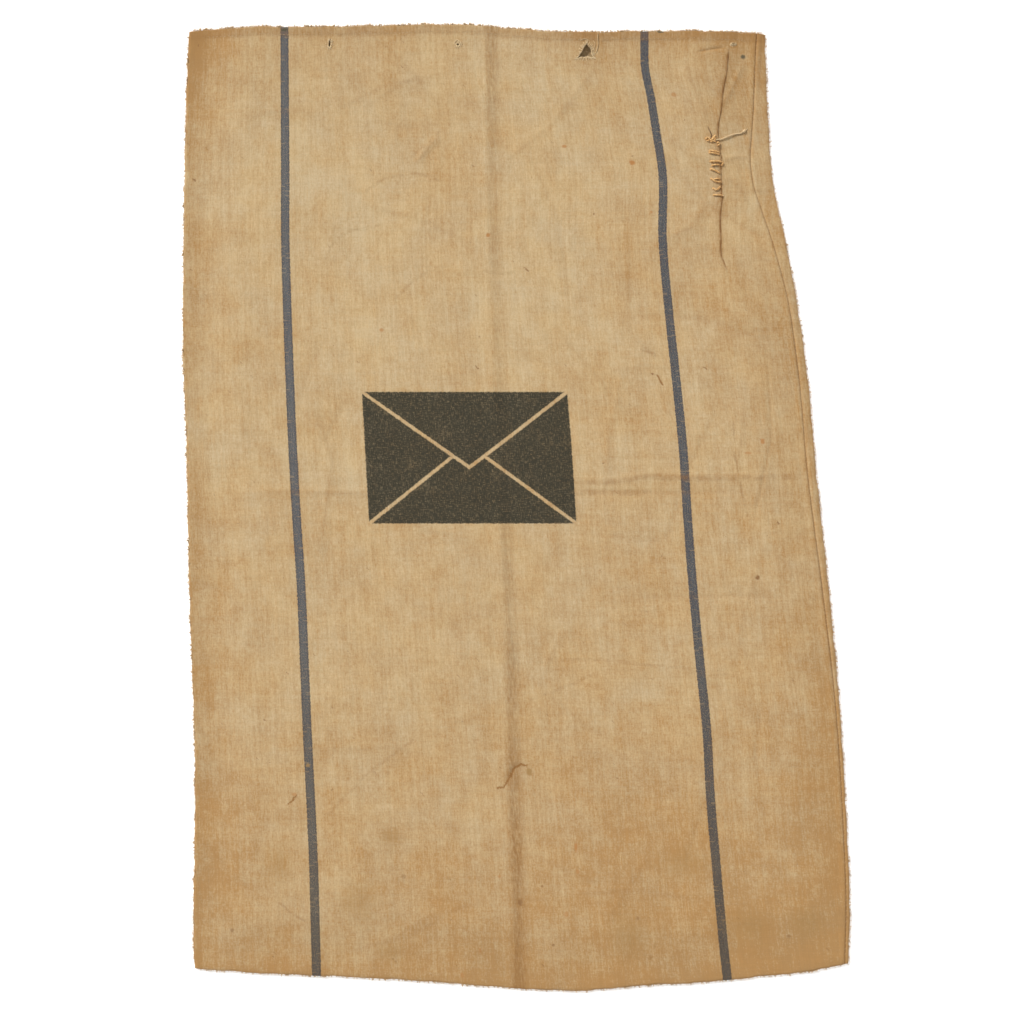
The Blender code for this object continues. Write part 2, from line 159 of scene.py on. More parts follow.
class Graph:
    """A material under construction."""

    def __init__(self, name):
        self.material = bpy.data.materials.new(name)
        self.material.use_nodes = True
        self.tree = self.material.node_tree
        self.principled = self.tree.nodes["Principled BSDF"]

    def put(self, socket, value):
        if isinstance(value, Value):
            self.tree.links.new(value.socket, socket)
        elif isinstance(value, tuple) and len(value) == 3 and socket.type == "RGBA":
            socket.default_value = (*value, 1.0)
        else:
            socket.default_value = value

    def add(self, kind, *values, out=0, **settings):
        node = self.tree.nodes.new(kind)
        for name, value in settings.items():
            setattr(node, name, value)
        for place, value in enumerate(values):
            if value is not None:
                self.put(node.inputs[place], value)
        return Value(self, node.outputs[out])

    def math(self, operation, a, b=None, clamp=False):
        return self.add("ShaderNodeMath", a, b, operation=operation, use_clamp=clamp)

    def least(self, a, b):
        return self.math("MINIMUM", a, b)

    def most(self, a, b):
        return self.math("MAXIMUM", a, b)

    def fit(self, value, low, high, to_low=0.0, to_high=1.0, smooth=False):
        kind = "SMOOTHSTEP" if smooth else "LINEAR"
        return self.add("ShaderNodeMapRange", value, low, high, to_low, to_high,
                        interpolation_type=kind)

    def swing(self, value, reach):
        """0 to 1 spread from -reach to reach."""
        return self.fit(value, 0.0, 1.0, -reach, reach)

    def mix(self, share, low, high, blend="MIX", clamp=True):
        node = self.tree.nodes.new("ShaderNodeMix")
        node.data_type = "RGBA"
        node.blend_type = blend
        node.clamp_factor = clamp
        self.put(node.inputs[0], share)
        self.put(node.inputs[6], low)
        self.put(node.inputs[7], high)
        return Value(self, node.outputs[2])

    def scaled(self, colour, by):
        return self.mix(1.0, colour, self.vector(by, by, by), "MULTIPLY")

    def vector(self, x, y, z=0.0):
        return self.add("ShaderNodeCombineXYZ", x, y, z)

    def uv(self, name, scale):
        """(u, v) of a named map, times scale."""
        parts = self.tree.nodes.new("ShaderNodeSeparateXYZ")
        self.put(parts.inputs[0], self.add("ShaderNodeUVMap", uv_map=name))
        return [Value(self, parts.outputs[k]) * scale for k in (0, 1)]

    def attribute(self, name):
        return self.add("ShaderNodeAttribute", attribute_name=name, out=2)

    def noise(self, where, scale=1.0, detail=3, roughness=0.6):
        """Flat noise at a vector, or at an (x, y) pair."""
        if isinstance(where, tuple):
            where = self.vector(*where)
        node = self.tree.nodes.new("ShaderNodeTexNoise")
        node.noise_dimensions = "2D"
        self.put(node.inputs["Vector"], where)
        for name, value in (("Scale", scale), ("Detail", detail), ("Roughness", roughness)):
            node.inputs[name].default_value = value
        return Value(self, node.outputs[0])

    def cells(self, x, y, scale):
        """Scattered points: the distance to the nearest one, and its random number."""
        node = self.tree.nodes.new("ShaderNodeTexVoronoi")
        node.voronoi_dimensions = "2D"
        self.put(node.inputs["Vector"], self.vector(x, y))
        node.inputs["Scale"].default_value = scale
        colour = Value(self, node.outputs["Color"])
        return Value(self, node.outputs["Distance"]), self.add("ShaderNodeSeparateColor", colour)

    def random(self, x, y):
        return self.add("ShaderNodeTexWhiteNoise", self.vector(x, y), noise_dimensions="2D")

    def shader(self, name, value):
        self.put(self.principled.inputs[name], value)

    def bump(self, height, distance, strength):
        node = self.tree.nodes.new("ShaderNodeBump")
        node.inputs["Strength"].default_value = strength
        node.inputs["Distance"].default_value = distance
        self.put(node.inputs["Height"], height)
        self.shader("Normal", Value(self, node.outputs[0]))


PALE = (0.622, 0.466, 0.258)
OCHRE = (0.49, 0.302, 0.13)
BROWN = (0.25, 0.12, 0.045)
# brown for painted shade in grooves and creases, for the darker band along the hem and for the thin lines
SHADE_AND_LINE_BROWN = (0.288, 0.132, 0.036)
INK = (0.034, 0.032, 0.02)
WARP_MM, WEFT_MM = 0.86, 0.97      # from thread to thread
STRIPE_U, STRIPE_HALF = 200.0, 4.5


def spot(g, u, v, x, y, reach_x, reach_y, wobble):
    """1 in the middle of a small mark, 0 beyond its edge, in millimetres."""
    dx, dy = (u - x) / reach_x, (v - y) / reach_y
    far = g.math("SQRT", dx * dx + dy * dy)
    soft = 0.45 if reach_x < 10.0 else 0.0
    return g.fit(far + wobble, soft, 1.15, 1.0, 0.0, smooth=True)


def weave(g, u, v):
    """Plain weave: which thread is where, how high it lies, and each thread's own tone."""
    warp_at = (u + g.swing(g.noise((u, v), 0.045, 2, 0.5), 1.6)) / WARP_MM
    weft_at = (v + g.swing(g.noise((u + 137.0, v), 0.06, 2, 0.5), 1.6)) / WEFT_MM
    warp, weft = g.math("FLOOR", warp_at), g.math("FLOOR", weft_at)
    over = g.math("FLOORED_MODULO", warp + weft, 2.0)
    across = g.math("SINE", g.math("FRACT", warp_at) * math.pi)
    along = g.math("SINE", g.math("FRACT", weft_at) * math.pi)
    warp_top = across * g.fit(along, 0.0, 1.0, 0.55, 1.0)
    weft_top = along * g.fit(across, 0.0, 1.0, 0.55, 1.0)
    lift = g.add("ShaderNodeMix", over, None, weft_top, warp_top)
    thread = (g.fit(g.noise((warp * 7.3, v * 0.035)), 0.25, 0.75, -0.6, 0.6)
              + g.fit(g.noise((u * 0.03, weft * 5.9)), 0.25, 0.75, -0.42, 0.42)
              + g.swing(g.random(warp, 3.0), 0.2) + g.swing(g.random(weft, 11.0), 0.14))
    return weft, over, lift, thread


def ageing(g, u, v, thread, grain, outside):
    """How far the cloth has gone from pale to ochre."""
    age = 0.27 if outside else 0.42
    for noise, reach in (
        (g.noise((u, v), 0.0075, 3, 0.55), 0.18),                  # clouds
        (g.noise((u + 511.0, v * 0.8), 0.05, 4, 0.72), 0.27),     # patches
        (g.noise((u * 0.33, v * 0.012)), 0.19),                    # streaks along the warp
        (g.noise((u * 0.01, v * 0.3)), 0.07),                    # bars along the weft
        (grain, 0.24),
        (g.noise((u * 0.85, v * 0.16), 1.0, 3, 0.65), 0.28),       # flecks
        (g.noise((u * 0.2, v * 0.62), 1.0, 3, 0.65), 0.14),       # nubs
    ):
        age = age + g.fit(noise, 0.3, 0.7, -reach, reach)
    age = age + thread * 0.12
    if outside:
        down = g.fit(v, -60.0, -500.0)
        age = (age + g.fit(u, -160.0, 330.0) * 0.25 + g.math("POWER", down, 1.35) * 0.52
               + down * g.fit(u, -50.0, 150.0) * 0.16 + g.fit(v, 24.0, 8.0, smooth=True) * 0.07
               + g.attribute("edge") * 0.38)
    return g.least(g.most(age, -0.15), 1.25)


def striped(g, u, v, colour, weft, over, grain):
    """The colour with two indigo stripes: dyed warp, natural weft."""
    frayed = abs(abs(u) - STRIPE_U) + g.swing(g.noise((u, v), 0.5, 2, 0.5), 0.7)
    stripe = g.fit(frayed, STRIPE_HALF - 0.4, STRIPE_HALF + 0.4, 1.0, 0.0, smooth=True)
    worn = g.fit(g.noise((u * 0.9, v * 0.05)) + grain * 0.8, 0.7, 1.15)
    indigo = g.mix(worn, (0.024, 0.042, 0.07), (0.07, 0.096, 0.124))
    indigo = g.mix(g.fit(u, -10.0, 10.0, 0.26, 0.0), indigo, (0.155, 0.172, 0.19))
    border = g.fit(frayed, 2.4, 3.6, 0.0, 0.7, smooth=True)
    indigo = g.mix(border, indigo, (0.04, 0.05, 0.072))
    browned = g.mix(g.fit(v, -60.0, -420.0, 0.0, 0.6), indigo, (0.072, 0.058, 0.036))
    pale_float = g.math("GREATER_THAN", g.random(weft, g.math("FLOOR", u * 0.11)), 0.97)
    rubbed = g.fit(g.noise((u * 1.5, v), 0.7, 3, 0.75), 0.5, 0.72, 0.0, 0.46)
    weft_shows = g.most((1.0 - over) * 0.07 + rubbed, pale_float * 0.32)
    return g.mix(stripe * 0.97, colour, g.mix(weft_shows, browned, colour))


def linen(name, outside):
    """Plain-woven linen with two indigo stripes. outside has the stencil, stains and spots."""
    g = Graph(name)
    u, v = g.uv("Cloth", 1000.0)
    weft, over, lift, thread = weave(g, u, v)
    grain = g.noise((u, v + 77.0), 0.55, 3, 0.75)
    colour = g.mix(ageing(g, u, v, thread, grain, outside), PALE, OCHRE, clamp=False)
    hue = g.fit(g.noise((u, v + 900.0), 0.02), 0.35, 0.65)
    tint = g.mix(hue, (1.015, 0.985, 0.955), (0.99, 1.0, 1.05))
    colour = g.mix(1.0, colour, tint, "MULTIPLY")
    colour = striped(g, u, v, colour, weft, over, grain)

    bent = g.swing(g.noise((u, v), 0.28, 2, 0.5), 4.0)
    for scale, least, most, strength in ((0.017, 0.002, 0.03, 0.75), (0.046, 0.004, 0.05, 0.5)):
        far, own = g.cells(u + bent, v - bent, scale)
        tint = g.math("POWER", own, 3.0)
        size = g.fit(tint, 0.0, 1.0, least, most)
        specks = g.fit(far, size * 0.5, size, strength, 0.0)
        colour = g.mix(specks, colour, g.mix(tint, g.mix(0.35, OCHRE, BROWN), BROWN))

    # painted shade in the seam, tuck and creases, and the darker band along the hem, mixed in as brown
    uneven = g.fit(g.noise((u * 0.4, v * 0.11)), 0.3, 0.7, 0.35, 1.25)
    colour = g.mix(g.least(g.attribute("soil") * uneven, 0.9), colour, SHADE_AND_LINE_BROWN)
    rough = g.fit(thread, -1.0, 1.0, 0.88, 0.97)
    if outside:
        # painted shade: the colour scaled darker towards the edges, most at the mouth
        colour = g.scaled(colour, g.fit(g.attribute("edge"), 0.0, 3.0, 1.0, 0.88))
        colour = lines(g, u, v, colour)
        wobble = g.swing(g.noise((u, v + 300.0), 0.35, 2, 0.5), 0.35)
        for tint, places in MARKS:
            share = 0.0
            for *place, strength in places:
                share = g.most(share, spot(g, u, v, *place, wobble) * strength)
            colour = g.mix(share, colour, tint)
        ink, printed = stencil(g, u, v, lift)
        colour = g.mix(ink, colour, INK)
        rough = rough - printed * 0.1
    # each thread's own tone, and painted weave shade: raised threads lighter, sunken ones darker
    tone_and_weave_shade = g.fit(thread * 0.55 + g.fit(lift, 0.0, 1.0, -0.5, 0.35), -1.0, 1.0, 0.86, 1.12)
    g.shader("Base Color", g.scaled(colour, tone_and_weave_shade))
    g.shader("Roughness", rough)
    g.shader("Sheen Weight", 0.12)
    g.shader("Specular IOR Level", 0.25)
    g.bump(lift * 0.16 + thread * 0.05 + g.swing(grain, 0.1), 0.001, 0.75)
    return g.material


# small marks on the front, by colour: place and reach in millimetres on the cloth, and strength
RUST = (0.48, 0.22, 0.07)
OLIVE = (0.095, 0.086, 0.055)
STAIN = (0.4, 0.235, 0.085)
MARKS = (
    (RUST, (
        (169, 357, 3.7, 3.0, 0.95), (282, 69, 2.6, 3.3, 0.8), (15, 282, 2.7, 2.5, 0.85),
        (-102, 184, 2.6, 2.2, 0.7), (62, -350, 1.9, 5.4, 0.85), (99, 374, 3.1, 2.0, 0.8),
        (-216, -296, 2.6, 2.2, 0.6), (266, 57, 4.4, 1.6, 0.55), (226, 427, 3.6, 2.8, 0.55),
        (62, -376, 1.8, 2.6, 0.65), (-16, -381, 2.2, 2.0, 0.6), (-39, -458, 1.6, 3.0, 0.6),
        (-58, -484, 2.2, 3.4, 0.65), (48, -420, 2.8, 3.6, 0.45), (188, 306, 1.8, 1.7, 0.65))),
    (BROWN, (
        (267, -72, 2.8, 2.6, 0.85), (-282, -437, 2.2, 2.4, 0.55), (2.9, -408, 2.8, 4.0, 0.55),
        (-111, -381, 3.0, 2.6, 0.35), (118, -424, 2.0, 2.2, 0.45), (127, 304, 1.5, 1.3, 0.7),
        (26, -391, 1.7, 1.5, 0.55), (33, -452, 2.0, 1.6, 0.6),
        (265, -443, 2.6, 2.4, 0.45))),
    (OLIVE, ((310, 467, 2.9, 3.0, 0.85), (218, 492, 4.2, 1.6, 0.9), (-200, 494, 4.4, 2.2, 0.85))),
    (STAIN, (
        (20, -273, 3.8, 4.4, 0.9), (-201, -266, 2.6, 2.4, 0.7), (-122, -340, 15, 12, 0.5),
        (-158, -407, 26, 30, 0.45), (-128, -460, 17, 14, 0.46), (-235, -370, 18, 26, 0.4),
        (285, -428, 24, 22, 0.5), (226, -431, 30, 22, 0.42), (107, -442, 24, 30, 0.45),
        (169, -368, 34, 20, 0.36))),
)
# thin lines on the front: half their width, strength, and the paths they follow, in millimetres
LINES = (
    (1.5, 0.85, (((-12, -290), (-5.6, -288), (4.7, -270), (12, -265), (18, -266)),
                 ((181, 137), (185, 128)), ((-222, -306), (-214, -297)))),
    (1.9, 0.34, (((254, 88), (252, 56), (258, 12), (261, -8.3)),
                 ((168, 163), (180, 160), (181, 154)), ((126, -467), (134, -450)),
                 ((-235, -408), (-222, -420), (-210, -427)))),
    (2.4, 0.2, (((-65, 363), (-30, 392)), ((-66, 346), (-49, 344), (-36, 338)),
                 ((-114, 328), (-95, 341), (-76, 344)),
                 ((-158, 259), (-147, 278), (-131, 287), (-96, 293)),
                 ((-84, 218), (-68, 233), (-51, 245)), ((9.7, 245), (23, 242), (40, 244)),
                 ((46, -157), (100, -157), (154, -163), (191, -166)),
                 ((26, -198), (65, -184), (88, -173)), ((160, -292), (198, -282)),
                 ((-95, -240), (-114, -254), (-143, -275), (-183, -317)),
                 ((-137, -272), (-126, -280), (-120, -272)))),
    # the widest: painted shade along the creases of the storage fold
    (5.0, 0.3, (((64, 29), (124, 27), (159, 33), (196, 31), (254, 32), (311, 32)),
                 ((83, 16), (163, 16)), ((37, 0.4), (56, 1.0), (74, 6.7)))),
)


def lines(g, u, v, colour):
    """Thin dark lines left by old creases and pulled threads; the widest group is painted shade along the
    storage fold's creases.
    """
    shake = g.swing(g.noise((u, v + 40.0), 0.22, 3, 0.7), 2.2)
    here = g.vector(u + shake, v - shake)
    broken = g.fit(g.noise((v, u), 0.12, 2, 0.5), 0.38, 0.6, 0.2, 1.0)
    share = 0.0
    for reach, strength, paths in LINES:
        nearest = 99.0
        for path in paths:
            for (ax, ay), (bx, by) in zip(path[:-1], path[1:]):
                run = (bx - ax, by - ay, 0.0)
                size = run[0] ** 2 + run[1] ** 2
                off = g.add("ShaderNodeVectorMath", here, (ax, ay, 0.0), operation="SUBTRACT")
                along = g.add("ShaderNodeVectorMath", off, (run[0] / size, run[1] / size, 0.0),
                              operation="DOT_PRODUCT", out=1)
                # a clamp here would hold too many values at once for the renderer
                along = g.least(g.most(along, 0.0), 1.0)
                foot = g.add("ShaderNodeVectorMath", run, None, None, along, operation="SCALE")
                far = g.add("ShaderNodeVectorMath", off, foot, operation="DISTANCE", out=1)
                nearest = g.least(nearest, far)
        drawn = g.fit(nearest, 0.25 * reach, reach, strength, 0.0, smooth=True)
        share = g.most(share, drawn if strength > 0.5 else drawn * broken)
    return g.mix(share, colour, SHADE_AND_LINE_BROWN)


# the stamped envelope, in millimetres on the cloth
STAMP_AT = (-20.0, 52.0)
STAMP_HALF = (106.0, 68.0)
STAMP_LINE = 3.4                    # width of the unprinted lines
FLAP_POINT, LOWER_POINT = -10.0, 14.0


def stencil(g, u, v, lift):
    """A plain envelope outline with its flap, in worn black ink: coverage, and where it is printed."""
    wander_u = g.swing(g.noise((u, v), 0.3, 3, 0.7), 1.0)
    wander_v = g.swing(g.noise((v, u), 0.3, 3, 0.7), 1.0)
    x = abs(u - STAMP_AT[0] + wander_u)
    y = v - STAMP_AT[1] + wander_v
    half_x, half_y = STAMP_HALF
    body = g.fit(g.most(x - half_x, abs(y) - half_y), -0.5, 0.5, 1.0, 0.0)

    def gap(off, rise):
        """An unprinted line of the given slope, where off is the height above it."""
        far = abs(off * (1.0 / math.hypot(rise, 1.0)))
        return g.fit(far, STAMP_LINE / 2 - 0.5, STAMP_LINE / 2 + 0.5, 1.0, 0.0)

    # the flap runs from the upper corners to its point, and two seams from the lower corners to the flap
    rise = (half_y - FLAP_POINT) / half_x
    flap = y - (x * rise + FLAP_POINT)
    low_rise = (LOWER_POINT + half_y) / half_x
    lower = y - (x * -low_rise + LOWER_POINT)
    gaps = g.most(gap(flap, rise), gap(lower, low_rise) * g.math("LESS_THAN", flap, 0.0))
    printed = body * (1.0 - gaps)
    rubbed = (g.noise((u * 1.3, v * 0.5), 0.35, 4, 0.7) * 0.9 + g.noise((u, v), 0.035) * 0.8
              + lift * 0.12)
    speckle = (g.noise((u * 0.95, v * 0.22), 1.0, 3, 0.7) + g.noise((u * 0.22, v * 0.95), 1.0, 3, 0.7)) * 0.5
    kept = g.fit(rubbed, 0.52, 0.8, 0.8, 0.98) * g.fit(speckle, 0.5, 0.66, 1.0, 0.74)
    return printed * kept, printed


def thread_material(name, pale, dark, plies, pitch):
    """Twisted thread or string: ply grooves, hairy grain and uneven tone."""
    g = Graph(name)
    turn, run = g.uv("Thread", 1.0)
    spiral = turn * plies + run / pitch
    ply = g.math("SINE", g.math("FRACT", spiral) * math.pi)
    fibre = g.noise((spiral * 5.0, run * 0.7), 1.0, 3, 0.7)
    dirt = g.noise((turn, run * 0.16))
    # painted shade in the grooves between the plies, lighter on their crowns, with the fibres' grain and
    # uneven dirt
    tone = ply * 0.55 + g.fit(fibre, 0.25, 0.75, -0.25, 0.25) + g.fit(dirt, 0.3, 0.7, -0.35, 0.35) + 0.1
    g.shader("Base Color", g.mix(g.math("MULTIPLY", tone, 1.0, clamp=True), dark, pale))
    g.shader("Roughness", g.fit(fibre, 0.2, 0.8, 0.78, 0.95))
    g.shader("Sheen Weight", 0.15)
    g.bump(ply + fibre * 0.5, 0.00025, 0.8)
    return g.material


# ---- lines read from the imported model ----
def node_points(*names):
    """Every vertex of the named CAD nodes, in the row frame."""
    found = []
    for name in names:
        node = NODES[name]
        co = np.empty(3 * len(node.data.vertices))
        node.data.vertices.foreach_get("co", co)
        matrix = np.array(node.matrix_world)
        found.append(co.reshape(-1, 3) @ matrix[:3, :3].T + matrix[:3, 3])
    return np.concatenate(found)


def outer_line(points, along, across, sign):
    """The outermost point of each row of vertices, as (place, value) rows."""
    points = points[np.argsort(points[:, along])]
    breaks = np.flatnonzero(np.diff(points[:, along]) > 0.006) + 1
    rows = []
    for part in np.split(points, breaks):
        best = part[np.argmax(sign * part[:, across])]
        rows.append((best[along], best[across]))
    return np.array(rows)


def through(rows):
    """A smooth function through the rows, which runs straight on beyond both ends."""
    rows = np.array(sorted(map(tuple, rows)))
    keep = np.concatenate(([True], np.diff(rows[:, 0]) > 0.004))
    at, value = rows[keep, 0], rows[keep, 1]
    slope = np.gradient(value, at)

    def read(t):
        t = np.asarray(t, float)
        k = np.clip(np.searchsorted(at, t) - 1, 0, len(at) - 2)
        step = at[k + 1] - at[k]
        s = np.clip((t - at[k]) / step, 0.0, 1.0)
        curve = (value[k] * (1 + 2 * s) * (1 - s) ** 2 + slope[k] * step * s * (1 - s) ** 2
                 + value[k + 1] * s * s * (3 - 2 * s) + slope[k + 1] * step * s * s * (s - 1))
        beyond = np.minimum(t - at[0], 0.0) * slope[0] + np.maximum(t - at[-1], 0.0) * slope[-1]
        return curve + beyond

    return read


def waver(t, size, seed):
    """A small wandering offset along an edge."""
    rng = np.random.default_rng(seed)
    total = 0.0
    for wave in (0.013, 0.021, 0.034, 0.055):
        total = total + size * math.sqrt(wave / 0.055) * np.sin(math.tau * (t / wave + rng.uniform()))
    return total


left_line = through(outer_line(node_points("left_edge_turn_lower", "left_edge_turn_upper"), 1, 0, -1))
right_line = through(outer_line(node_points("right_edge_turn_lower", "right_edge_turn_upper"), 1, 0, 1))
FRONT_POINTS = node_points("front_lower", "front_upper")
BESIDE_SEAM = FRONT_POINTS[:, 0] > right_line(FRONT_POINTS[:, 1]) - 0.03
groove_line = through(outer_line(FRONT_POINTS[BESIDE_SEAM], 1, 0, 1))
bottom_line = through(outer_line(node_points("bottom_fold"), 0, 1, -1))
UPPER_POINTS = node_points("back_upper")
mouth_outline = through(outer_line(UPPER_POINTS[UPPER_POINTS[:, 1] > 0.49], 0, 1, 1))
# the hem sags a little between the places where it was held
mouth_sag = through(((-0.338, 0.0), (-0.29, 0.0015), (-0.224, 0.0026), (-0.183, 0.0013), (-0.141, 0.0005),
                     (-0.09, 0.0), (-0.038, 0.0), (0.0, 0.0008), (0.024, 0.0015), (0.128, 0.002),
                     (0.19, 0.0028), (0.257, 0.002)))


def mouth_line(x):
    return mouth_outline(x) - mouth_sag(x)


# lines that run up the front: y, and x there
tuck_line = through((
    (-0.47, 0.254), (-0.2, 0.244), (0.05, 0.232), (0.16, 0.224), (0.2515, 0.2148), (0.2598, 0.2117),
    (0.2784, 0.2106), (0.3033, 0.2104), (0.3198, 0.2118), (0.3353, 0.2111), (0.3498, 0.2111),
    (0.3612, 0.2115), (0.3731, 0.2094), (0.3933, 0.2079), (0.4119, 0.2111), (0.4316, 0.2131),
    (0.4482, 0.2164), (0.4657, 0.2181), (0.4968, 0.2189)))
crease_line = through((
    (-0.5, -0.003), (-0.432, -0.0036), (-0.36, -0.0057), (-0.308, -0.0078), (-0.215, -0.0105),
    (-0.132, -0.0112), (-0.05, -0.016), (0.03, -0.0195), (0.22, -0.0264), (0.32, -0.03),
    (0.474, -0.0315), (0.5, -0.0317)))
left_stripe = through((
    (-0.4833, -0.207), (-0.3747, -0.2096), (-0.2298, -0.2163), (-0.1573, -0.2194), (-0.0849, -0.2225),
    (-0.0124, -0.2272), (0.06, -0.2313), (0.1325, -0.2344), (0.2049, -0.237), (0.2774, -0.239),
    (0.3498, -0.2391), (0.4585, -0.2396)))
right_stripe = through((
    (-0.4833, 0.2179), (-0.4471, 0.2137), (-0.3747, 0.207), (-0.3022, 0.2008), (-0.2298, 0.1967),
    (-0.1573, 0.1894), (-0.0849, 0.1827), (-0.0124, 0.177), (0.06, 0.1723), (0.1325, 0.1651),
    (0.2049, 0.1573), (0.2774, 0.1511), (0.3498, 0.1506), (0.3861, 0.1449), (0.4223, 0.1392),
    (0.4585, 0.1325), (0.4823, 0.1322)))


def left_edge(y):
    return left_line(y) + waver(y, 0.00022, 1)


def right_edge(y):
    return right_line(y) + waver(y, 0.00022, 2)


def bottom_edge(x):
    return bottom_line(x) + waver(x, 0.00025, 3)


def mouth_edge(x):
    return mouth_line(x) + waver(x, 0.0003, 4)


def groove(y):
    return groove_line(y) + 0.0002


def bolt(x, y):
    """Where a point of the sack lies across the bolt of cloth, with the stripes 0.2 m either side."""
    return -0.2 + 0.4 * (x - left_stripe(y)) / (right_stripe(y) - left_stripe(y))


# ---- shaping ----
def smooth(t):
    t = np.clip(t, 0.0, 1.0)
    return t * t * (3 - 2 * t)


def bell(off, width):
    return np.exp(-((off / width) ** 2))


def ripple(x, y, wave_x, wave_y, seed):
    """Smooth noise from -1 to 1."""
    lattice = np.random.default_rng(seed).uniform(-1, 1, (97, 97))
    gx, gy = x / wave_x + 40.3, y / wave_y + 40.7
    ix, iy = np.floor(gx).astype(int), np.floor(gy).astype(int)
    fx, fy = smooth(gx - ix), smooth(gy - iy)
    at = lambda i, j: lattice[i % 97, j % 97]
    return ((at(ix, iy) * (1 - fx) + at(ix + 1, iy) * fx) * (1 - fy)
            + (at(ix, iy + 1) * (1 - fx) + at(ix + 1, iy + 1) * fx) * fy)


def waves(t, wave, seed):
    """The same noise along a line."""
    return ripple(t, t, wave, wave, seed)


def to_path(x, y, path):
    """Distance from each point to a path, how far along it from 0 to 1, and the nearest point."""
    path = np.array(path, float)
    steps = np.linalg.norm(np.diff(path, axis=0), axis=1)
    total, done = steps.sum(), 0.0
    best, share, near_x, near_y = (np.full(np.shape(x), 9.0) for _ in range(4))
    for (ax, ay), (bx, by), step in zip(path[:-1], path[1:], steps):
        t = np.clip(((x - ax) * (bx - ax) + (y - ay) * (by - ay)) / step ** 2, 0, 1)
        px, py = ax + t * (bx - ax), ay + t * (by - ay)
        far = np.hypot(x - px, y - py)
        closer = far < best
        best, near_x, near_y = (np.where(closer, new, old)
                                for new, old in ((far, best), (px, near_x), (py, near_y)))
        share = np.where(closer, (done + t * step) / total, share)
        done += step
    return best, share, near_x, near_y


def crease(x, y, path, height, width):
    """A soft ridge, or a valley where height is negative, that fades at both ends."""
    far, share = to_path(x, y, path)[:2]
    return height * bell(far, width) * smooth(share * 5) * smooth((1 - share) * 5)


# creases pressed into the front: path, height and width, in metres
CREASES = (
    (((-0.1051, 0.355), (-0.093, 0.372), (-0.0792, 0.3861)), 0.0007, 0.0035),
    (((0.1858, 0.4709), (0.205, 0.4745), (0.2154, 0.4756)), -0.0006, 0.0016),
    (((-0.0129, -0.2888), (-0.006, -0.274), (-0.0026, -0.2681), (0.0016, -0.266), (0.0109, -0.266)),
     -0.0006, 0.0014),
    (((0.1278, 0.1687), (0.1433, 0.1584)), 0.0004, 0.0012),
    (((-0.32, 0.014), (-0.2551, 0.017), (-0.12, 0.015), (0.0036, 0.0135)), 0.0004, 0.0045),
    (((0.03, 0.029), (0.1, 0.027), (0.132, 0.033), (0.2, 0.031), (0.29, 0.0318)),
     0.0004, 0.0045),
    (((0.05, 0.017), (0.15, 0.0155), (0.26, 0.0178)), -0.0002, 0.0035),
    (((-0.22, 0.13), (-0.19, 0.05), (-0.205, -0.06)), 0.0004, 0.007),
    (((0.21, 0.41), (0.223, 0.435), (0.235, 0.46)), 0.0005, 0.003),
    (((0.15, 0.39), (0.18, 0.365), (0.205, 0.356)), 0.0006, 0.005),
    (((0.213, 0.345), (0.228, 0.335), (0.24, 0.315)), 0.0006, 0.0035),
    (((0.213, 0.36), (0.229, 0.364), (0.24, 0.362)), 0.0005, 0.003),
    (((0.2, 0.32), (0.18, 0.29), (0.15, 0.275)), 0.0005, 0.006),
    (((0.171, 0.469), (0.187, 0.4275), (0.202, 0.3915)), 0.0005, 0.006),
)


def stray_creases():
    """Slight creases left by handling, the same in every run."""
    rng = np.random.default_rng(12)
    found = []
    for _ in range(46):
        x, y = rng.uniform(-0.31, 0.28), rng.uniform(-0.47, 0.46)
        heading, length = rng.uniform(0, math.pi), rng.uniform(0.025, 0.11)
        bend = rng.uniform(-0.35, 0.35)
        middle = (x + length * math.cos(heading), y + length * math.sin(heading))
        end = (middle[0] + length * math.cos(heading + bend), middle[1] + length * math.sin(heading + bend))
        size = rng.uniform(0.00012, 0.00034) * rng.choice((-1, 1))
        found.append((((x, y), middle, end), size, rng.uniform(0.0022, 0.0065)))
    return found


STRAY = stray_creases()


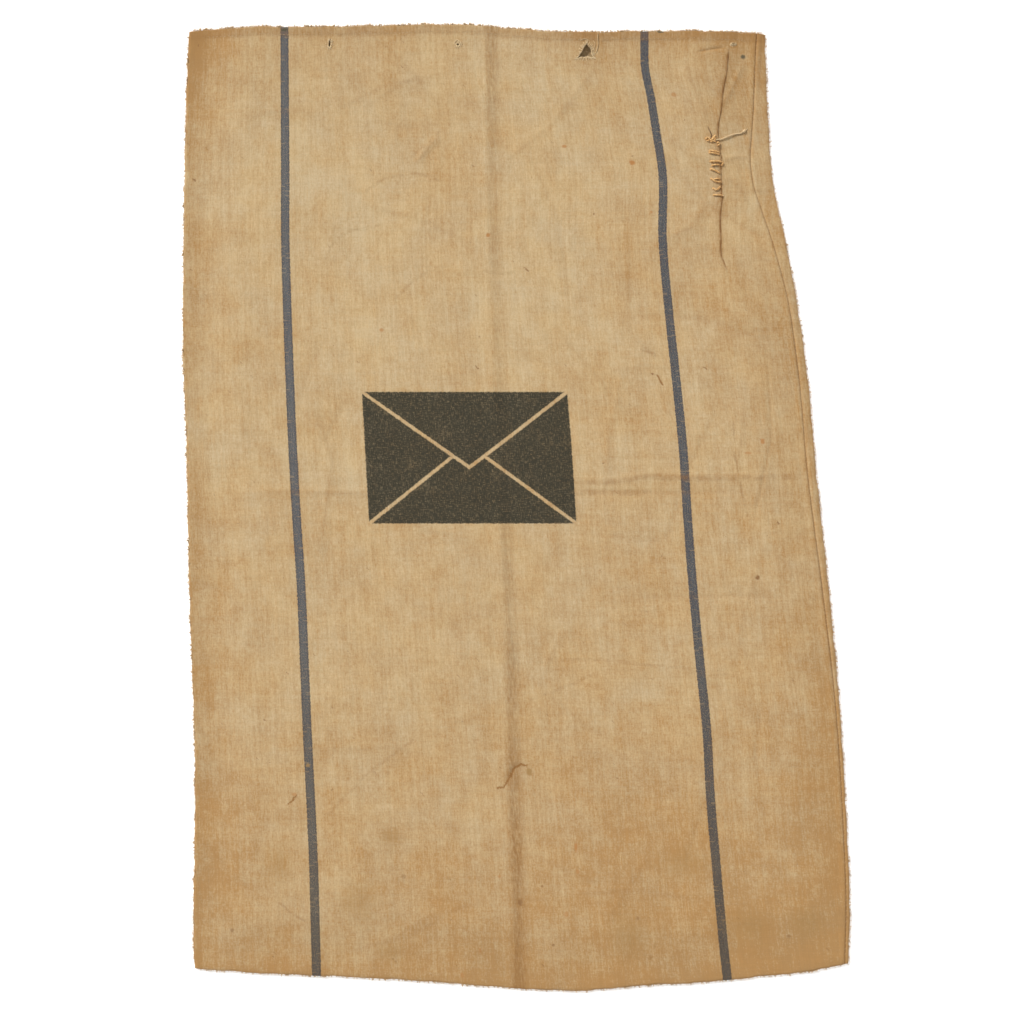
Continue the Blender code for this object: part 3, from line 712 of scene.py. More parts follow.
def relief(x, y):
    """What the front's surface does beyond its plain crown."""
    rise = 0.0007 * ripple(x, y, 0.085, 0.15, 5) + 0.00045 * ripple(x, y, 0.04, 0.06, 6)
    rise += 0.00022 * ripple(x, y, 0.016, 0.03, 7) + 0.00009 * ripple(x, y, 0.007, 0.011, 8)
    from_crease = x - crease_line(y)
    sharp = 0.75 + 0.35 * waves(y, 0.06, 9)
    rise += 0.0011 * bell(from_crease, 0.006) * sharp
    rise -= 0.0006 * bell(from_crease - 0.011, 0.008) * sharp
    for path, height, width in (*CREASES, *STRAY):
        rise += crease(x, y, path, 1.5 * height, width)
    # the tuck: the left side stands proud and drops to the right in a tight step
    shown = smooth((y - 0.235) / 0.03) * smooth((0.479 - y) / 0.012)
    off = x - tuck_line(y)
    pinch = np.zeros_like(y)
    for place in STITCH_ROWS:
        pinch += bell(y - place, 0.002)
    pinch = np.minimum(pinch, 1.0)
    proud = 0.001 * bell(np.minimum(off, 0), 0.006) * (off <= 0)
    proud += 0.001 * bell(np.maximum(off, 0), 0.0007) * (off > 0)
    rise += shown * (1 - 0.45 * pinch) * proud
    rise -= shown * 0.0003 * bell(off - 0.0009, 0.0009)
    # puckers along the right seam, and a slight roll each side of it
    beside = np.abs(groove(y) - x)
    rise += 0.0004 * np.exp(-(beside / 0.014)) * waves(y, 0.0085, 10) * smooth(beside / 0.003)
    rise += 0.00045 * bell(beside - 0.0032, 0.0026)
    rise -= 0.00115 * np.exp(-((beside / 0.0008) ** 1.5))
    # the hem ripples
    from_mouth = mouth_edge(x) - y
    rise += 0.00045 * bell(from_mouth, 0.03) * waves(x, 0.031, 11)
    rise += 0.00024 * smooth((0.0098 - from_mouth) / 0.003)
    rise += 0.00016 * bell(from_mouth, 0.012) * waves(x, 0.0042, 13)
    return rise


STITCH_ROWS = (0.3685, 0.3582, 0.3543, 0.3485, 0.3395, 0.3305, 0.3235)


def front_height(x, y):
    """The middle of the front cloth, well inside the edges."""
    from_side = np.minimum(x - left_line(y) - TURN, groove(y) - x)
    from_bottom = y - bottom_line(x) - TURN
    rise = smooth(from_side / RAMP) * smooth(from_bottom / RAMP)
    at_mouth = smooth((y - mouth_line(x) + MOUTH_RAMP) / MOUTH_RAMP)
    return FRONT_MID + rise * (CROWN + MOUTH_LIFT * at_mouth) + relief(x, y)


def soil_at(x, y):
    """Painted shade as dark brown lines: in the seam's groove, under the tuck and along creases; also a
    darker band along the hem.
    """
    # painted shade in the right seam's groove
    dark = (0.5 + 0.22 * waves(y, 0.009, 16)) * bell(np.abs(x - groove(y)), 0.0007)
    # painted shadow under the tuck's fold, a softer painted shade on its proud left side, and a dark spot on
    # the tuck line
    shown = smooth((y - 0.24) / 0.02) * smooth((0.478 - y) / 0.012)
    off = x - tuck_line(y)
    width = 0.00125 + 0.0005 * waves(y, 0.01, 17)
    dark += shown * bell(off - 0.0002, width) * (0.72 + 0.35 * waves(y, 0.007, 14))
    dark += shown * 0.32 * bell(off + 0.002, 0.005) * (0.8 + 0.4 * ripple(x, y, 0.004, 0.012, 18))
    dark += 0.9 * np.exp(-(((x - 0.2118) / 0.0016) ** 2 + ((y - 0.3198) / 0.0022) ** 2))
    # painted shade in a broad band on the shaded side of the long crease
    off = x - crease_line(y)
    shown = 0.18 + 0.28 * smooth((-0.1 - y) / 0.1) + 0.12 * smooth((y - 0.38) / 0.06)
    shown += 0.12 * waves(y, 0.045, 20)
    dark += shown * smooth((off + 0.0025) / 0.0045) * (1 - smooth((off - 0.007) / 0.013))
    # painted shade along the smaller creases
    for path, strength in (*((p, 0.16) for p, _, _ in STRAY), *((p, 0.2) for p, _, _ in CREASES)):
        far, share = to_path(x, y, path)[:2]
        dark += strength * bell(far, 0.0022) * smooth(share * 4) * smooth((1 - share) * 4)
    # a darker band along the hem
    from_mouth = mouth_edge(x) - y
    dark += smooth((0.0125 - from_mouth) / 0.005) * (0.32 + 0.12 * waves(x, 0.05, 15))
    return np.clip(dark, 0.0, 1.0)


def edge_at(x, y):
    """How much darker the cloth is near the sack's edges, most at the mouth's left corner: it ages the colour
    there, and also scales it darker as painted shade.
    """
    left = np.exp(-np.maximum(x - left_line(y), 0.0) / 0.034) * (1.25 + 0.35 * waves(y, 0.05, 19))
    far = np.minimum(right_line(y) - x, y - bottom_line(x))
    mouth = (0.65 + 1.1 * smooth((x - 0.02) / 0.06)) * np.exp(-np.maximum(mouth_line(x) - y, 0.0) / 0.022)
    corner = 2.3 * np.exp(-np.hypot(x - left_line(y), y - mouth_line(x)) / 0.042)
    return np.maximum(left, np.exp(-np.maximum(far, 0.0) / 0.016)) + mouth + corner


# ---- grids of cloth ----
ROLL_ANGLES = np.radians((0.0, 14.0, 30.0, 48.0, 68.0, 90.0))
EYELETS = ((-0.193, 0.48), (-0.0603, 0.4789), (0.0722, 0.4725), (0.2241, 0.4797))


def fixed(value):
    return lambda t: np.full(np.shape(t), float(value))


def ladder(stops, spacing):
    """Columns or rows between stops. A stop is (line, offset), and spacing the gap after it."""
    made = []
    for (low, high), gap in zip(zip(stops[:-1], stops[1:]), spacing):
        length = abs(float(high[0](0.25)) + high[1] - float(low[0](0.25)) - low[1])
        count = max(1, round(length / gap))
        made += [(low, high, k / count) for k in range(count)]
    return made


def place(rung, t):
    (low, low_off), (high, high_off), share = rung
    return (low(t) + low_off) * (1 - share) + (high(t) + high_off) * share


def cluster(line, offsets):
    """Closely set columns each side of a line, the last of them left to the next stop."""
    return [((line, a), (line, a), 0.0) for a in offsets]


def spread_grid(columns, rows):
    """X and Y of every crossing. Columns are lines x(y), and rows are lines y(x)."""
    y = np.array([float(place(r, 0.0)) for r in rows])[:, None] * np.ones((1, len(columns)))
    x = None
    for _ in range(4):
        x = np.stack([place(c, y[:, k]) for k, c in enumerate(columns)], axis=1)
        y = np.stack([place(r, x[k]) for k, r in enumerate(rows)], axis=0)
    return x, y


def normals_of(points):
    rows, cols = np.gradient(points, axis=0), np.gradient(points, axis=1)
    normal = np.cross(cols, rows)
    return normal / np.maximum(np.linalg.norm(normal, axis=2, keepdims=True), 1e-12)


def mesh_object(name, verts, faces, materials, uv=None, uv_name="Cloth", index=None, normals=None, **floats):
    mesh = bpy.data.meshes.new(name)
    mesh.from_pydata(np.asarray(verts).tolist(), [], [list(f) for f in faces])
    for finish in materials:
        mesh.materials.append(finish)
    if index is not None:
        mesh.polygons.foreach_set("material_index", np.asarray(index, np.int32))
    mesh.polygons.foreach_set("use_smooth", np.ones(len(mesh.polygons), bool))
    if uv is not None:
        layer = mesh.uv_layers.new(name=uv_name)
        layer.data.foreach_set("uv", np.asarray(uv, np.float32).ravel())
    for key, values in floats.items():
        mesh.attributes.new(key, "FLOAT", "POINT").data.foreach_set("value", np.asarray(values, np.float32))
    mesh.update()
    if normals is not None:
        mesh.normals_split_custom_set_from_vertices(np.asarray(normals).tolist())
    made = bpy.data.objects.new(name, mesh)
    bpy.context.scene.collection.objects.link(made)
    return made


def thick_cloth(name, middle, normal, keep, u, v, shift, soil, edge, materials):
    """Cloth of one layer's thickness about a grid. keep says which cells are there, and shift is
    added to u cell by cell. The first material is on the side that normal points to."""
    shape = middle.shape[:2]
    count = shape[0] * shape[1]
    index = np.arange(count).reshape(shape)
    corner = np.stack([index[:-1, :-1], index[:-1, 1:], index[1:, 1:], index[1:, :-1]], axis=2)[keep]
    cell_shift = shift[keep]
    r, c = shape[0] // 2, shape[1] // 2
    here = middle[r, c]
    if np.cross(middle[r, c + 1] - here, middle[r + 1, c] - here) @ normal[r, c] < 0:
        corner = corner[:, ::-1]
    start, end = corner.ravel(), np.roll(corner, -1, axis=1).ravel()
    open_edge = ~np.isin(start.astype(np.int64) * count + end, end.astype(np.int64) * count + start)
    start, end = start[open_edge], end[open_edge]
    rim_shift = np.repeat(cell_shift, 4)[open_edge]
    rim = np.stack([end, start, start + count, end + count], 1)
    faces = np.concatenate([corner, corner[:, ::-1] + count, rim])
    face_shift = np.concatenate([cell_shift, cell_shift, rim_shift])
    finish = np.concatenate([np.zeros(len(corner)), np.ones(len(corner) + len(start))])
    verts = np.concatenate([(middle + normal * HALF).reshape(-1, 3), (middle - normal * HALF).reshape(-1, 3)])
    used, renumbered = np.unique(faces, return_inverse=True)
    renumbered = renumbered.reshape(faces.shape)
    double = lambda values: np.concatenate([values.ravel(), values.ravel()])
    uv = np.stack([double(u)[faces] + face_shift[:, None], double(v)[faces]], axis=2)
    normals = np.concatenate([normal.reshape(-1, 3), -normal.reshape(-1, 3)])
    return mesh_object(name, verts[used], renumbered, materials, uv=uv.reshape(-1, 2), index=finish,
                       normals=normals[used], soil=double(soil)[used], edge=double(edge)[used])


def curl_hem(middle, inward, columns_roll):
    """Adds rows to a grid that turn its last row over a small roll and back along the inside.
    inward is +1 where the inside is above the cloth, and -1 where it is below."""
    last = middle[-1]
    from_side = np.minimum(last[:, 0] - last[0, 0], last[-1, 0] - last[:, 0])
    size = HEM_ROLL_SIDE + (HEM_ROLL - HEM_ROLL_SIDE) * smooth((from_side - 0.008) / 0.02)
    rows = []
    for angle in np.radians((30, 60, 90, 120, 150, 180)):
        row = last.copy()
        row[:, 1] += size * math.sin(angle)
        row[:, 2] += inward * size * (1 - math.cos(angle)) * columns_roll
        rows.append(row)
    for back in (0.002, 0.004, 0.006, HEM):
        row = last.copy()
        row[:, 1] -= back
        row[:, 2] = [np.interp(y, middle[:, k, 1], middle[:, k, 2]) for k, y in enumerate(row[:, 1])]
        row[:, 2] += inward * 2 * size * columns_roll
        rows.append(row)
    return np.concatenate([middle, np.stack(rows)]), len(rows)


def with_hem(cloth, inward, columns_roll, u, v, soil, edge, keep, carried_share):
    """The grid and what goes with it, carried on over the turned hem."""
    last = len(cloth) - 1
    middle, extra = curl_hem(cloth, inward, columns_roll)
    far = np.cumsum(np.linalg.norm(np.diff(middle[last:], axis=0), axis=2), axis=0)
    on = lambda grid, end: np.concatenate([grid, np.repeat(end, extra, axis=0)])
    return (middle, on(u, u[-1:]), np.concatenate([v, v[-1:] + far]), on(soil, soil[-1:] * carried_share),
            on(edge, edge[-1:]), np.concatenate([keep, np.ones((extra, keep.shape[1]), bool)]))


# the two bodies that a zone's cloth bends between, and where the bend starts and ends
ZONES = {
    "lower": ("lower_half", "upper_half", (0.0, FOLD_LOW, 0.0), (0.0, FOLD_HIGH, 0.0)),
    "upper_left": ("upper_half", "front_lip", (-0.33, 0.25, 0.0), (-0.03, 0.25, 0.0)),
    "upper_right": ("upper_half", "front_lip", (0.301, 0.042, 0.0), (0.0278, 0.0105, 0.0)),
}


def follow(piece, zone):
    """For a zone of ZONES, the storage fold or the opening mouth, the piece's transform is baked into its
    mesh.
    Anything else is the name of the body that it rides on."""
    if zone in ZONES:
        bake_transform(piece)
    else:
        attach(piece, zone)
    return piece


# ---- holes ----
def turned(x, y, angle):
    return x * math.cos(angle) - y * math.sin(angle), x * math.sin(angle) + y * math.cos(angle)


def oval(x, y, reach_x, reach_y, lean, seed, count=14):
    rng = np.random.default_rng(seed)
    made = []
    for k in range(count):
        angle, reach = math.tau * k / count, rng.uniform(0.86, 1.14)
        dx, dy = turned(reach * reach_x * math.cos(angle), reach * reach_y * math.sin(angle), lean)
        made.append((x + dx, y + dy))
    return made


FRONT_HOLES = (
    oval(-0.193, 0.4798, 0.0011, 0.0034, -0.12, 21),
    oval(-0.0603, 0.4789, 0.0015, 0.0012, 0.3, 22),
    # the third has torn out into a triangle
    ((0.0724, 0.48), (0.0741, 0.477), (0.0762, 0.4752), (0.0773, 0.4728), (0.0771, 0.4696),
     (0.0794, 0.4654), (0.0759, 0.4656), (0.0733, 0.4668), (0.0706, 0.4656), (0.0668, 0.466),
     (0.0622, 0.4642), (0.0652, 0.4678), (0.0674, 0.4712), (0.069, 0.4748), (0.071, 0.4776)),
    oval(0.2241, 0.4797, 0.0024, 0.0009, 0.25, 24),
)
# the back hem lies a little beside the front one, so its holes don't show through the front ones
BACK_SHIFTS = ((-0.003, 0.0004), (0.0032, -0.0006), (0.0006, -0.0004), (0.0004, -0.003))
BACK_HOLES = tuple(oval(x + dx, y + dy, 0.0012, 0.0013, 0.0, 31 + k)
                   for k, ((x, y), (dx, dy)) in enumerate(zip(EYELETS, BACK_SHIFTS)))


def inside(x, y, loop):
    """Whether each point lies inside a closed loop."""
    odd = np.zeros(np.shape(x), bool)
    for (ax, ay), (bx, by) in zip(loop, (*loop[1:], loop[0])):
        crosses = (ay > y) != (by > y)
        odd ^= crosses & (x < (bx - ax) * (y - ay) / (by - ay + 1e-12) + ax)
    return odd


def open_holes(x, y, holes):
    """Takes the cells inside the holes away, and brings the vertices round each hole to its edge."""
    keep = np.ones((x.shape[0] - 1, x.shape[1] - 1), bool)
    for loop in holes:
        middle_x = (x[:-1, :-1] + x[1:, 1:]) / 2
        middle_y = (y[:-1, :-1] + y[1:, 1:]) / 2
        gone = inside(middle_x, middle_y, loop)
        touched, kept = np.zeros(x.shape, bool), np.zeros(x.shape, bool)
        for dr in (0, 1):
            for dc in (0, 1):
                part = (slice(dr, x.shape[0] - 1 + dr), slice(dc, x.shape[1] - 1 + dc))
                touched[part] |= gone
                kept[part] |= ~gone
        rim = touched & kept
        x[rim], y[rim] = to_path(x[rim], y[rim], (*loop, loop[0]))[2:]
        keep &= ~gone
    return keep


# ---- the two layers of cloth ----
def rolled(line, way):
    """Columns or rows that follow the roll of an edge, from the very edge inwards."""
    return [((line, way * (HALF + ROLL * (1 - math.cos(a)))),) * 2 + (0.0,) for a in ROLL_ANGLES[:-1]]


TUCK_STEPS = (-0.004, -0.0026, -0.0015, -0.0008, -0.0004, 0.0, 0.0003, 0.0006, 0.001, 0.0016, 0.0026)
GROOVE_STEPS = (-0.004, -0.0028, -0.0018, -0.0011, -0.0006, -0.0003)
STRIP_SHARES = (0.0, 0.05, 0.11, 0.19, 0.29, 0.42, 0.57, 0.72, 0.87)


def front_columns():
    """The columns of the front, with the places where the middle and the seam's strip begin."""
    edge, strip_end = (left_edge, HALF + ROLL), (right_edge, -HALF - ROLL)
    left = rolled(left_edge, 1) + ladder(
        [edge, (fixed(-0.199), 0), (fixed(-0.187), 0), (fixed(-0.066), 0), (fixed(-0.0545), 0),
         (crease_line, 0)], (COARSE, FINE, COARSE, FINE, COARSE))
    right = ladder([(crease_line, 0), (fixed(0.06), 0), (fixed(0.082), 0), (tuck_line, TUCK_STEPS[0])],
                   (COARSE, FINE, COARSE))
    right += cluster(tuck_line, TUCK_STEPS)
    right += ladder([(tuck_line, 0.004), (groove, GROOVE_STEPS[0])], (0.001,))
    right += cluster(groove, GROOVE_STEPS)
    strip = [((groove, 0.0), strip_end, share) for share in STRIP_SHARES]
    strip += [(strip_end, strip_end, 0.0)] + rolled(right_edge, -1)[::-1]
    return left + right + strip, len(left), len(left) + len(right)


def front_rows():
    lower = rolled(bottom_edge, 1) + ladder(
        [(bottom_edge, HALF + ROLL), (fixed(0.006), 0), (fixed(HINGE_Y), 0)], (COARSE, 0.0018))
    upper = ladder(
        [(fixed(HINGE_Y), 0), (fixed(0.235), 0), (fixed(0.318), 0), (fixed(0.375), 0), (fixed(0.462), 0),
         (fixed(0.4845), 0), (mouth_edge, -HALF - HEM_ROLL)], (COARSE, 0.0024, 0.0012, 0.0024, FINE, 0.001))
    end = (mouth_edge, -HALF - HEM_ROLL)
    return lower + upper + [(end, end, 0.0)], len(lower)


def roll_share(count, at_start, at_end):
    """How far each column or row has risen over the rolled edges: 0 at the very edge, 1 inside."""
    share = np.ones(count)
    sines = np.sin(ROLL_ANGLES[:-1])
    if at_start:
        share[:len(sines)] = sines
    if at_end:
        share[-len(sines):] = sines[::-1]
    return share


def level_edges(normal):
    """Round the very edge both layers face straight outwards, so that they meet."""
    for part in (normal[:, 0], normal[:, -1], normal[0]):
        part[:, 2] = 0.0
        part /= np.maximum(np.linalg.norm(part, axis=1, keepdims=True), 1e-9)


def build_front(finishes):
    columns, split, seam = front_columns()
    rows, hinge = front_rows()
    x, y = spread_grid(columns, rows)
    keep = open_holes(x, y, FRONT_HOLES)
    across, up = roll_share(len(columns), True, True), roll_share(len(rows), True, False)
    z = EQUATOR + (front_height(x, y) - EQUATOR) * across[None, :] * up[:, None]
    u, v = bolt(x, y), y.copy()
    soil, edge = soil_at(x, y), edge_at(x, y)
    middle, u, v, soil, edge, keep = with_hem(
        np.stack([x, y, z], axis=2), -1, across, u, v, soil, edge, keep, 0.6)
    shift = np.zeros(keep.shape)
    shift[:, seam:] = 2.0
    normal = normals_of(middle)
    level_edges(normal)

    def piece(name, row_span, column_span):
        part = (slice(row_span[0], row_span[1] + 1), slice(column_span[0], column_span[1] + 1))
        cells = (slice(*row_span), slice(*column_span))
        return thick_cloth(name, middle[part], normal[part], keep[cells], u[part], v[part], shift[cells],
                           soil[part], edge[part], finishes)

    last_row, last_column = middle.shape[0] - 1, middle.shape[1] - 1
    return (piece("cloth_front_lower", (0, hinge), (0, last_column)),
            piece("cloth_front_upper_left", (hinge, last_row), (0, split)),
            piece("cloth_front_upper_right", (hinge, last_row), (split, last_column)))


def back_relief(x, y):
    rise = 0.00028 * (1 + ripple(x, y, 0.09, 0.12, 41)) + 0.00012 * (1 + ripple(x, y, 0.03, 0.045, 42))
    from_side = np.minimum(x - left_line(y), right_line(y) - x)
    rise *= smooth(from_side / 0.03) * smooth((y - bottom_line(x)) / 0.03)
    rise += 0.00085 * np.exp(-((np.abs(x - left_seam(y)) / 0.0009) ** 1.5))
    rise += 0.004 * np.exp(-(((x - 0.072) / 0.03) ** 2 + ((y - 0.468) / 0.03) ** 2))
    return rise


def left_seam(y):
    """The left seam has rolled underneath, onto the back."""
    return left_line(y) + TURN


def build_back(finishes):
    loose = 2 * COARSE
    edge_in, edge_out = (left_edge, HALF + ROLL), (right_edge, -HALF - ROLL)
    columns = rolled(left_edge, 1) + ladder([edge_in, (left_seam, -0.003)], (0.0022,))
    columns += cluster(left_seam, (-0.003, -0.0016, -0.0008, -0.0004, 0.0, 0.0004, 0.0008, 0.0016))
    stops, gaps = [(left_seam, 0.003)], []
    for x, _ in EYELETS:
        stops += [(fixed(x - 0.0045), 0), (fixed(x + 0.0045), 0)]
        gaps += [loose, FINE]
    columns += ladder([*stops, edge_out], (*gaps, COARSE))
    columns += [(edge_out, edge_out, 0.0)] + rolled(right_edge, -1)[::-1]
    end = (mouth_edge, -HALF - HEM_ROLL)
    rows = rolled(bottom_edge, 1) + ladder(
        [(bottom_edge, HALF + ROLL), (fixed(0.006), 0), (fixed(HINGE_Y), 0), (fixed(0.466), 0),
         (fixed(0.4845), 0), end], (loose, 0.002, loose, FINE, 0.0015)) + [(end, end, 0.0)]
    x, y = spread_grid(columns, rows)
    keep = open_holes(x, y, [hole for k, hole in enumerate(BACK_HOLES) if k != 2])
    across, up = roll_share(len(columns), True, True), roll_share(len(rows), True, False)
    z = EQUATOR + (BACK_MID + back_relief(x, y) - EQUATOR) * across[None, :] * up[:, None]
    u, v = bolt(x, y), y + BACK_SHIFT
    # painted shade along the left seam, which has rolled underneath
    soil = 0.6 * bell(np.abs(x - left_seam(y)), 0.0008)
    edge = edge_at(x, y)
    middle, u, v, soil, edge, keep = with_hem(
        np.stack([x, y, z], axis=2), 1, across, u, v, soil, edge, keep, 1.0)
    normal = -normals_of(middle)
    level_edges(normal)
    return thick_cloth("cloth_back", middle, normal, keep, u, v, np.zeros(keep.shape), soil, edge, finishes)


# ---- threads, strings and fibres ----
class Strands:
    """Collects round strands into one mesh."""

    def __init__(self):
        self.verts, self.faces, self.uv = [], [], []
        self.count = 0

    def tube(self, path, radius, sides, pitch):
        """A closed strand along a path, laid from two plies."""
        path = np.asarray(path, float)
        size = np.broadcast_to(np.asarray(radius, float), (len(path),))
        steps = np.linalg.norm(np.diff(path, axis=0), axis=1)
        run = np.concatenate([[0.0], np.cumsum(steps)])
        tangent = np.gradient(path, axis=0)
        tangent /= np.maximum(np.linalg.norm(tangent, axis=1, keepdims=True), 1e-12)
        side = np.cross(tangent[0], (0.0, 0.0, 1.0))
        if np.linalg.norm(side) < 0.1:
            side = np.cross(tangent[0], (1.0, 0.0, 0.0))
        rings = []
        for k in range(len(path)):
            side = side - tangent[k] * (side @ tangent[k])
            side /= max(np.linalg.norm(side), 1e-12)
            up = np.cross(tangent[k], side)
            angle = np.arange(sides) * math.tau / sides
            reach = size[k] * (0.8 + 0.2 * np.abs(np.cos(angle)))
            angle = angle + math.tau * run[k] / pitch
            rings.append(path[k] + np.outer(reach * np.cos(angle), side)
                         + np.outer(reach * np.sin(angle), up))
        start = self.count
        poles = (path[0] - tangent[0] * size[0] * 0.5, path[-1] + tangent[-1] * size[-1] * 0.5)
        self.verts += [np.concatenate(rings), np.array(poles)]
        self.count += len(path) * sides + 2
        mm = run * 1000
        for k in range(len(path) - 1):
            for j in range(sides):
                a, b = start + k * sides + j, start + k * sides + (j + 1) % sides
                self.faces.append((a, b, b + sides, a + sides))
                self.uv += [(j / sides, mm[k]), ((j + 1) / sides, mm[k]),
                            ((j + 1) / sides, mm[k + 1]), (j / sides, mm[k + 1])]
        top = start + (len(path) - 1) * sides
        first, last = top + sides, top + sides + 1
        for j in range(sides):
            here, after = j / sides, (j + 1) / sides
            self.faces.append((first, start + (j + 1) % sides, start + j))
            self.uv += [(here, mm[0]), (after, mm[0]), (here, mm[0])]
            self.faces.append((last, top + j, top + (j + 1) % sides))
            self.uv += [(here, mm[-1]), (here, mm[-1]), (after, mm[-1])]

    def finish(self, name, material, slot, zone, *replaced):
        """Makes the piece, which rides with its zone's body or has its transform baked, and stands for the
        replaced nodes.
        """
        made = mesh_object(name, np.concatenate(self.verts), self.faces, [material],
                           uv=np.array(self.uv), uv_name="Thread")
        if replaced:
            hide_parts(*replaced)
        return follow(made, zone)


def curve_through(points, spacing):
    """A smooth line through the points, sampled about every spacing."""
    points = np.asarray(points, float)
    padded = np.concatenate([[2 * points[0] - points[1]], points, [2 * points[-1] - points[-2]]])
    made = []
    for k in range(1, len(padded) - 2):
        a, b, c, d = padded[k - 1:k + 3]
        count = max(2, int(np.linalg.norm(c - b) / spacing) + 1)
        for t in np.arange(count) / count:
            made.append(0.5 * (2 * b + (c - a) * t + (2 * a - 5 * b + 4 * c - d) * t * t
                               + (3 * b - a - 3 * c + d) * t ** 3))
    made.append(points[-1])
    return np.array(made)


def fibres(name, base, heading, length, radius, seed, material):
    """Fine tapered hairs, each closed, three-sided and slightly curled."""
    rng = np.random.default_rng(seed)
    count, rings = len(base), 4
    taper = np.where(radius > 0.00025, 0.4, 0.75)
    heading = heading / np.maximum(np.linalg.norm(heading, axis=1, keepdims=True), 1e-9)
    curl = rng.normal(0, 1, (count, 3))
    curl -= heading * np.sum(curl * heading, axis=1, keepdims=True)
    curl *= (length * rng.uniform(0.05, 0.45, count))[:, None] / np.linalg.norm(curl, axis=1, keepdims=True)
    side = np.cross(heading, rng.normal(0, 1, (count, 3)))
    side /= np.maximum(np.linalg.norm(side, axis=1, keepdims=True), 1e-9)
    up = np.cross(heading, side)
    verts = np.empty((count, rings * 3 + 2, 3))
    for ring in range(rings):
        s = ring / (rings - 1)
        centre = base + heading * (length * s)[:, None] + curl * s * s
        size = radius * (1 - taper * s)
        for corner in range(3):
            angle = math.tau * corner / 3
            spoke = side * math.cos(angle) + up * math.sin(angle)
            verts[:, ring * 3 + corner] = centre + spoke * size[:, None]
    verts[:, -2] = base - heading * (radius * 0.5)[:, None]
    verts[:, -1] = base + heading * (length * 1.02)[:, None] + curl * 1.04
    verts[..., 2] = np.maximum(verts[..., 2], 0.0001)
    pattern = []
    for ring in range(rings - 1):
        for corner in range(3):
            a, b = ring * 3 + corner, ring * 3 + (corner + 1) % 3
            pattern += [(a, b, b + 3), (a, b + 3, a + 3)]
    first, last, top = rings * 3, rings * 3 + 1, (rings - 1) * 3
    for corner in range(3):
        pattern += [(first, (corner + 1) % 3, corner), (last, top + corner, top + (corner + 1) % 3)]
    pattern = np.array(pattern)
    faces = (pattern[None] + (np.arange(count) * verts.shape[1])[:, None, None]).reshape(-1, 3)
    verts = verts.reshape(-1, 3)
    uv = np.stack([np.zeros(faces.size), np.repeat(rng.uniform(0, 50, count), pattern.size)], axis=1)
    made = mesh_object(name, verts, faces, [material], uv=uv, uv_name="Thread")
    return made


def laid_path(points, radius, bury=0.0, arch=0.0, spacing=0.0005):
    """A path over the front cloth. bury sinks its ends, and arch lifts its middle."""
    flat = curve_through(np.column_stack([np.array(points), np.zeros(len(points))]), spacing)
    share = np.linspace(0, 1, len(flat))
    ends = np.minimum(smooth(share / 0.16), smooth((1 - share) / 0.16))
    z = front_height(flat[:, 0], flat[:, 1]) + HALF + radius * 0.85
    flat[:, 2] = z + arch * np.sin(math.pi * share) - bury * (1 - ends)
    return flat


# ---- the pieces ----
# the darn: each stitch's route and the string's radius
STITCHES = (
    (((0.1985, 0.3695), (0.2044, 0.369), (0.2108, 0.3674)), 0.00115),
    (((0.1983, 0.3674), (0.2044, 0.3668), (0.2106, 0.3655)), 0.00105),
    (((0.1988, 0.3583), (0.2054, 0.3585), (0.2106, 0.3582), (0.213, 0.3567), (0.2126, 0.3547),
      (0.2108, 0.3538)), 0.00115),
    (((0.2012, 0.3538), (0.2054, 0.3548), (0.2108, 0.3546)), 0.00105),
    (((0.1997, 0.3506), (0.2044, 0.3494), (0.2108, 0.3459)), 0.00115),
    (((0.2, 0.3416), (0.2052, 0.3378), (0.2086, 0.3372), (0.2128, 0.3374)), 0.0011),
    (((0.2028, 0.3392), (0.2075, 0.3405), (0.2112, 0.3398)), 0.00095),
    (((0.2024, 0.3311), (0.2068, 0.3291), (0.2112, 0.3325)), 0.0011),
    (((0.2024, 0.3236), (0.2086, 0.3235), (0.215, 0.3229)), 0.001),
)
KNOT_LOOPS = (
    ((0.1954, 0.3806), (0.1963, 0.3823), (0.198, 0.3829), (0.1994, 0.3816), (0.1984, 0.3799),
     (0.1964, 0.38)),
    ((0.1986, 0.3812), (0.2003, 0.3806), (0.2022, 0.3808), (0.2036, 0.3826), (0.2052, 0.382),
     (0.2043, 0.3799), (0.2024, 0.38)),
    ((0.2018, 0.3812), (0.2036, 0.3832), (0.2056, 0.3852)),
    ((0.2071, 0.3768), (0.2084, 0.3779), (0.2098, 0.3768), (0.209, 0.3752), (0.2076, 0.3746)),
    ((0.2004, 0.3786), (0.2028, 0.3796), (0.206, 0.3788)),
)
# painted shadow: a thin dark string laid where there is only a shadow line beside the knot
SHADOW_LINE_ROUTE = ((0.1977, 0.3946), (0.199, 0.3912), (0.2009, 0.3871), (0.2013, 0.3845), (0.201, 0.382))
# the tail's route, as it is in the CAD model
TAIL_ROUTE = ((0.2048, 0.38), (0.2085, 0.381), (0.2122, 0.3814), (0.2184, 0.3843), (0.2255, 0.3868),
              (0.2318, 0.3877), (0.2344, 0.3893))
TAIL_R = 0.0008


